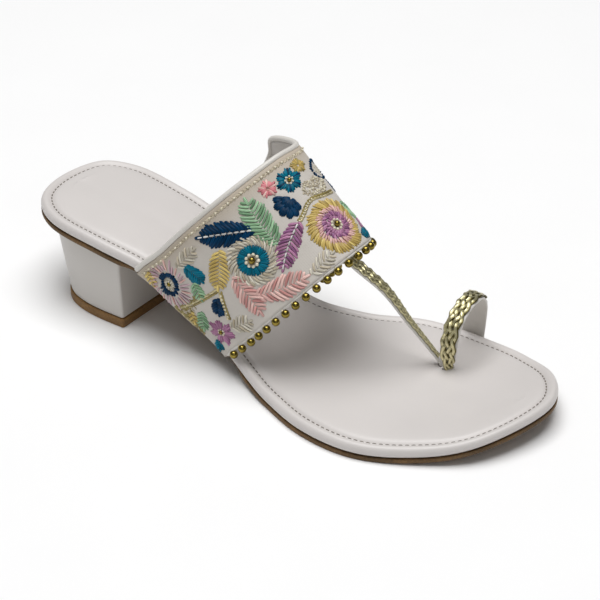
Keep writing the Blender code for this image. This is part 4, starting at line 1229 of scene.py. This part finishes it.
def petals(key, centre, inner, outer, number, each, spread=0.8, thick=1.2, second=None):
    """A flower of clumped petals, each a small fan of stitches with its longest in the middle."""
    for p in range(number):
        for step, s in enumerate(np.linspace(-1, 1, each)):
            reach = outer * (1 - PETAL_ROUND * s * s) * hand.uniform(0.93, 1.07)
            degrees = 360 * p / number + s * 180 / number * spread
            start, stop = centre + turn((inner, 0), degrees), centre + turn((reach, 0), degrees)
            stitch(shade_of(key, second, step), start, stop, thick)


def fan(key, root, centre, semi, first, last, lobes, each=6, thick=1.35):
    """A shell of satin lobes: each lobe is a small fan of stitches, and all of them grow from one root."""
    root, centre = np.array(root, float), np.array(centre, float)
    for k in range(lobes):
        for s in np.linspace(-1, 1, each):
            angle = np.radians(first + (last - first) * (k + 0.5 + LOBE_SPREAD * s) / lobes)
            edge = LOBE_REACH - LOBE_ROUND * s * s
            stop = centre + np.array((semi[0] * np.cos(angle), semi[1] * np.sin(angle))) * edge
            out = stop - root
            stitch(key, root + out * LOBE_FROM, root + out * LOBE_LOWER_END, thick)
            stitch(key, root + out * LOBE_UPPER_START, stop, thick, lift=LOBE_LIFT)


GOLD_FLOWER, TEAL_FLOWER = np.array((91.8, 38.7)), np.array((88.5, 12.3))
CORAL_FLOWER, OCHRE_FLOWER = np.array((80.1, 9.9)), np.array((95.8, 9.2))
wheel("ochre", GOLD_FLOWER, 7.2, 12.4, 60, -14, thick=1.4, bend=0.3, second="yellow")
wheel("pink", GOLD_FLOWER, 6.0, 8.8, 44, -10, thick=1.1, lift=0.15, ragged=0.1)
wheel("lilac", GOLD_FLOWER, 4.0, 6.7, 32, -14, thick=1.3, ragged=0.14, second="plum")
wheel("lilac", GOLD_FLOWER, 1.9, 4.6, 21, 14, thick=1.35, ragged=0.14, first=0.5)
eye(GOLD_FLOWER, 2.5)
petals("teal", TEAL_FLOWER, 1.5, 5.7, 6, 5, spread=0.72, second="navy")
eye(TEAL_FLOWER, 1.8, 7)
petals("coral", CORAL_FLOWER, 0.4, 4.0, 5, 4, second="pink")
petals("rose", CORAL_FLOWER, 0.2, 1.8, 6, 1, thick=0.9)
petals("ochre", OCHRE_FLOWER, 0.4, 3.8, 5, 4, second="olive")
fan("navy", (84.6, 18.8), (81.4, 20.0), (4.5, 6.0), 28, 256, 6)
print("stitches with the upper flowers:", charted())

# %% [markdown]
# Between the flowers the cloth is filled with tiny loose stitches and seed beads, and stems of gold thread
# beside olive floss lead from one motif to the next.

# %% Seed filling and stems on the crest
SEED_BEAD_R = 0.42


def spot_in(centre, semi):
    """A random place in an oval on the chart."""
    return np.array(centre) + turn((np.sqrt(hand.uniform()), 0), hand.uniform(0, 360)) * semi


def seeds(key, centre, semi, count, long=1.9, thick=0.85):
    """A loose filling of tiny stitches in an oval, in all directions."""
    for _ in range(count):
        spot = spot_in(centre, semi)
        way = turn((long / 2, 0), hand.uniform(0, 360))
        stitch(key, spot - way, spot + way, thick, 0.45)


def stem(places, pitch=1.5, long=2.1):
    """A double line through chart places: a pale gold row beside an olive one."""
    line = smooth(np.array(places, float), 8)
    for at in np.arange(0, lengths(line)[-1] - long * 0.6, pitch):
        a, b = at_lengths(line, [at, at + long])
        side = turn(unit(b - a), 90)
        stitch("gold", a + side * 0.2, b + side * 0.75, 1.0, 0.6)
        stitch("olive", a - side * 0.8, b - side * 0.25, 1.1, 0.5)


CREST_RING, BEADED_PATCH = np.array((105.0, 15.0)), np.array((96.4, 20.3))
wheel("navy", CREST_RING, 3.8, 5.4, 24, -10, thick=1.1)
seeds("ivory", CREST_RING, 2.8, 18)
seeds("beige", BEADED_PATCH, (6.8, 4.3), 120, long=1.4, thick=0.8)
seeds("ivory", BEADED_PATCH, (6.2, 3.8), 26, long=1.3, thick=0.7)
for _ in range(40):
    pearls.append((*spot_in(BEADED_PATCH, (6.2, 3.8)), SEED_BEAD_R))
stem(((80.6, 28.6), (84.4, 27.0), (87.0, 25.2), (90.4, 24.2), (96.5, 25.4), (103.5, 26.0)))
for spot in smooth(((81.0, 28.4), (84.4, 27.0), (87.0, 25.2), (90.4, 24.2)), 3):
    pearls.append((*spot, SEED_BEAD_R))
leaf("green", (103.0, 32.6), (113.0, 41.5), 7.0, bend=0.8)
leaf("lilac", (106.6, 46.2), (118.5, 40.0), 6.8)
leaf("teal", (101.5, 48.8), (112.0, 48.4), 5.4, pitch=1.2)
print("stitches up to the crest:", charted())

# %% The lower outer side
DARK_FLOWER, DARK_TILT, HEM_FLOWER = np.array((19.2, 14.5)), 149, np.array((20.8, 43.5))
wheel("blush", DARK_FLOWER, 5.4, 10.2, 30, -8, thick=0.95, ragged=0.16, second="pink", oval=(1.2, 1.0),
      tilt=DARK_TILT)
wheel("navy", DARK_FLOWER, 3.2, 5.9, 26, -4, thick=1.3, ragged=0.15, lift=0.1, oval=(1.2, 0.78),
      tilt=DARK_TILT)
wheel("ivory", DARK_FLOWER, 1.7, 3.4, 14, -20, thick=0.9, oval=(1.2, 0.78), tilt=DARK_TILT)
eye(DARK_FLOWER, 1.8)
leaf("teal", (33.0, 13.0), (34.2, 22.8), 7.6, pitch=1.1, lean=0.9, thick=1.35)
leaf("green", (30.4, 20.6), (26.8, 28.4), 6.4, pitch=1.6, thick=1.25, second="moss")
leaf("ivory", (30.2, 11.2), (42.2, 10.2), 7.2, pitch=1.8, lean=0.9, thick=1.1, second="straw")
leaf("yellow", (14.6, 5.4), (11.6, 10.8), 4.6)
stem(((37.2, 29.4), (31.8, 28.8), (25.8, 27.8), (17.0, 26.0), (11.6, 24.4)))
stem(((11.5, 22.0), (11.6, 27.0), (11.5, 34.0)), 1.3)
stem(((37.2, 30.2), (34.0, 35.2), (31.5, 39.0), (29.8, 41.8)))
leaf("navy", (33.4, 32.0), (27.4, 37.6), 6.4, pitch=1.2, lean=0.7, thick=1.4)
for share in np.linspace(0.15, 0.95, 7):
    pearls.append((37.0 - 6.6 * share, 30.6 + 10.2 * share, SEED_BEAD_R))
petals("lilac", HEM_FLOWER, 1.3, 7.1, 7, 4, spread=0.62)
eye(HEM_FLOWER, 1.7, 7)
leaf("green", (20.6, 31.4), (12.6, 37.8), 6.6, pitch=1.6, thick=1.25, second="moss")
seeds("olive", (14.2, 26.6), (2.6, 2.8), 34, long=1.8)
seeds("straw", (16.2, 27.4), (4.2, 2.6), 30, long=1.5, thick=0.75)
seeds("olive", (21.8, 25.9), (6.6, 1.3), 34, long=1.5, thick=0.8)
seeds("olive", (11.6, 35.6), (1.1, 4.2), 22, long=1.8)
leaf("yellow", (15.4, 28.6), (12.2, 33.0), 4.4)
leaf("teal", (15.0, 45.0), (11.2, 48.4), 5.0, pitch=1.1)
print("stitches on the outer side:", charted())

# %% [markdown]
# The inner side turns away from the eye in most views, and is worked with the same leaves and flowers in a
# balanced arrangement, so that the band reads as one panel all the way round.

# %% The inner side
LILAC_FLOWER, INNER_FLOWER = np.array((131.0, 25.0)), np.array((164.0, 18.0))
INNER_PINK, INNER_TEAL = np.array((147.0, 11.8)), np.array((158.0, 43.0))
wheel("yellow", LILAC_FLOWER, 8.2, 11.6, 42, -14, thick=1.3, bend=0.3, second="ochre")
wheel("ivory", LILAC_FLOWER, 6.2, 8.9, 30, -16)
wheel("lilac", LILAC_FLOWER, 2.5, 6.5, 34, -8, thick=1.25, ragged=0.04)
eye(LILAC_FLOWER, 2.7)
leaf("navy", (121.0, 16.5), (109.0, 27.6), 8.6, bend=0.6, pitch=1.15, lean=0.75, rib="silver", thick=1.4)
leaf("green", (121.5, 35.6), (132.5, 48.2), 9.4, bend=0.8, pitch=1.8, lean=0.7, thick=1.3, second="moss")
leaf("pink", (138.5, 36.5), (147.0, 48.4), 9.0, bend=0.8, pitch=1.7, lean=0.9, thick=1.25, second="rose")
leaf("teal", (141.0, 15.2), (128.0, 7.8), 8.0, pitch=1.2, lean=0.7, rib="silver", thick=1.35)
leaf("yellow", (122.5, 14.6), (112.0, 8.4), 7.8, lean=0.6)
leaf("lilac", (144.6, 20.0), (151.0, 33.5), 8.6, pitch=1.5, rib="silver", thick=1.35, second="plum")
petals("pink", INNER_PINK, 1.3, 5.0, 6, 4)
eye(INNER_PINK, 1.6, 7)
petals("teal", INNER_TEAL, 1.4, 5.8, 6, 5, spread=0.75)
eye(INNER_TEAL, 1.8, 7)
wheel("blush", INNER_FLOWER, 5.8, 9.6, 32, -8, thick=1.05, ragged=0.14, second="pink")
wheel("navy", INNER_FLOWER, 3.6, 6.3, 28, -4, thick=1.25)
wheel("ivory", INNER_FLOWER, 2.0, 3.8, 16, -20, thick=1.0)
eye(INNER_FLOWER, 2.2)
leaf("green", (155.0, 30.5), (168.0, 33.8), 6.8)
leaf("ivory", (151.5, 9.8), (163.0, 7.6), 6.6, pitch=1.8, lean=0.9, thick=1.15)
leaf("yellow", (165.6, 39.6), (174.0, 46.2), 6.0)
stem(((119.0, 43.0), (136.0, 36.4), (150.0, 37.4), (163.0, 37.0), (173.0, 30.0)))
stem(((142.6, 25.4), (150.0, 20.4), (156.0, 13.4)))
print("stitches on both sides:", charted())

# %% The knotted line along the back edge
LINE_START, LINE_STOP, LINE_FROM_EDGE = 11.5, 175.5, 4.6
KNOT_PITCH, KNOT_LONG, KNOT_WIDTH, KNOT_HEIGHT = 1.6, 1.9, 0.85, 0.42
KNOT_SPREAD, KNOT_CROSSED = 0.75, 0.35
LINE_BEAD_ON, LINE_BEAD_R = 0.9, 0.5
for step, at in enumerate(np.arange(LINE_START, LINE_STOP, KNOT_PITCH)):
    for side in (-1, 1):
        start, stop = LINE_FROM_EDGE + side * KNOT_SPREAD, LINE_FROM_EDGE - side * KNOT_CROSSED
        stitch("straw", (at, start), (at + KNOT_LONG, stop), KNOT_WIDTH, KNOT_HEIGHT)
    if step % 2:
        pearls.append((at + LINE_BEAD_ON, LINE_FROM_EDGE, LINE_BEAD_R))
print("knots on the line:", step + 1)

# %% Lay every stitch on the cloth
CLOTH_FROM, CLOTH_TO = 3.4, 51.0
for key, rows in worked.items():
    starts, stops, widths, heights, lifts, bends = np.split(np.array(rows), (2, 4, 5, 6, 7), axis=1)
    way = stops - starts
    sideways = np.stack([-way[:, 1], way[:, 0]], 1) / np.linalg.norm(way, axis=1)[:, None]
    spots = starts[:, :, None] + way[:, :, None] * STATIONS + sideways[:, :, None] * (bends * BOW)[:, None]
    along = np.clip(spots[:, 1], CLOTH_FROM, CLOTH_TO)
    paths, normals = on_band(spots[:, 0], along, np.repeat(lifts, len(STATIONS), 1))
    shades = hand.uniform(0.5, 1.12, len(rows))
    laid_threads(f"embroidery_{key}", paths, normals, widths[:, 0], heights[:, 0], shades, floss[key],
                 "band_fabric")
print("stitches laid:", charted())

# %% [markdown]
# The eyes of the flowers and the glints between the stitches are small beads: the same dark gold as along
# the edge, and glass seed beads with a pearl coat, which look pale and softly bright.

# %% Sew on the small beads
LUSTRE_MM, BEAD_SUNK = 1.5, 0.6
pearl, tree, shader = finish_named("glass seed beads, pearl coated")
where = node(tree, "ShaderNodeTexCoord").outputs["Object"]
lustre = node(tree, "ShaderNodeTexNoise", {"Vector": where, "Scale": 1 / (LUSTRE_MM * MM), "Detail": 1.0})
tone = node(tree, "ShaderNodeMix", {"Factor": lustre.outputs["Fac"], "A": linear("#C9BE98"),
                                    "B": linear("#F4F0E2")}, data_type="RGBA")
tree.links.new(tone.outputs["Result"], shader.inputs["Base Color"])
shader.inputs["Roughness"].default_value = 0.22
shader.inputs["Coat Weight"].default_value = 0.6
for name, rows, finish in (("embroidery_beads", knots, bead_gold), ("embroidery_pearls", pearls, pearl)):
    across, along, radii = np.array(rows).T
    places, _ = on_band(across, along, radii * BEAD_SUNK)
    balls(name, places, radii, finish, "bead_gold", rings=5)
print("gold beads:", len(knots), "pale beads:", len(pearls))

# %% [markdown]
# ## Light, floor and camera
# The shoe stands on a plain white table under one large soft light from above and a little behind the heel,
# so that the band throws a soft shade on the footbed before it. The white sky fills the shadows. The camera
# has a long lens, looks down at about thirty degrees from the outer front side, and frames the shoe.

# %% White table
# Matt white paper scatters light evenly, so the shadow stays soft and nothing mirrors in it.
TABLE_SIZE, TOOTH_MM = 8.0, 60
bpy.ops.object.select_all(action="DESELECT")
bpy.ops.mesh.primitive_plane_add(size=TABLE_SIZE, location=(0, 0, 0))
table_top = bpy.context.object
table_top.name = "table_top"
paper, tree, shader = finish_named("white paper, matt")
where = node(tree, "ShaderNodeTexCoord").outputs["Object"]
tooth = node(tree, "ShaderNodeTexNoise", {"Vector": where, "Scale": 1 / (TOOTH_MM * MM), "Detail": 2.0})
tone = node(tree, "ShaderNodeMix", {"Factor": tooth.outputs["Fac"], "A": linear("#F7F7F7"),
                                    "B": linear("#FAFAFA")}, data_type="RGBA")
tree.links.new(tone.outputs["Result"], shader.inputs["Base Color"])
shader.inputs["Roughness"].default_value = 0.9
table_top.data.materials.append(paper)
print("table:", TABLE_SIZE, "m,", paper.name)

# %% Soft light
SKY_STRENGTH = 0.155
world = bpy.data.worlds.new("soft white room")
bpy.context.scene.world = world
world.use_nodes = True
sky = world.node_tree.nodes["Background"]
sky.inputs["Color"].default_value = linear("#FFFFFF")
sky.inputs["Strength"].default_value = SKY_STRENGTH


def facing(place, back, up):
    """A matrix that puts a light or a camera at a place, turned away from a direction."""
    side = unit(np.cross(up, back))
    turned = np.eye(4)
    turned[:3] = np.column_stack([side, np.cross(back, side), back, place])
    return Matrix(turned.tolist())


def soft_light(name, place, aim, size, watts):
    """A square soft box that faces a point."""
    light = bpy.data.lights.new(name, "AREA")
    light.energy, light.size = watts, size
    lamp = bpy.data.objects.new(name, light)
    lamp.matrix_world = facing(place, unit(np.array(place) - np.array(aim)), (0.0, 1.0, 0.01))
    bpy.context.scene.collection.objects.link(lamp)


soft_light("overhead", (-0.1, 0.05, 2.2), (0, 0, 0), 1.8, 51.2)
soft_light("front_fill", (0.9, -1.0, 1.0), (0, 0, 0.03), 0.9, 1.7)
bpy.context.scene.view_settings.view_transform = "Standard"

# %% Camera
AZIMUTH, ELEVATION, DISTANCE = np.radians(35.58), np.radians(31.51), 0.776
AIM = np.array((0.00028, 0.00034, 0.0194))
LENS_MM, SENSOR_MM, CLOSER = 78.06, 36.0, 1.45
PICTURE_PX, OFF_CENTRE_PX, HIGHER = 600, (11.5, -4.0), 0.02
level = np.cos(ELEVATION)
back = np.array((np.sin(AZIMUTH) * level, -np.cos(AZIMUTH) * level, np.sin(ELEVATION)))
lens = bpy.data.cameras.new("camera")
lens.lens, lens.sensor_width = LENS_MM * CLOSER, SENSOR_MM
shift_x, shift_y = (px * CLOSER / PICTURE_PX for px in OFF_CENTRE_PX)
lens.shift_x, lens.shift_y = shift_x, shift_y + HIGHER
camera = bpy.data.objects.new("camera", lens)
camera.matrix_world = facing(AIM + back * DISTANCE, back, (0, 0, 1))
bpy.context.scene.collection.objects.link(camera)
bpy.context.scene.camera = camera
print("camera at", (AIM + back * DISTANCE).round(3), "lens", round(lens.lens, 1), "mm")
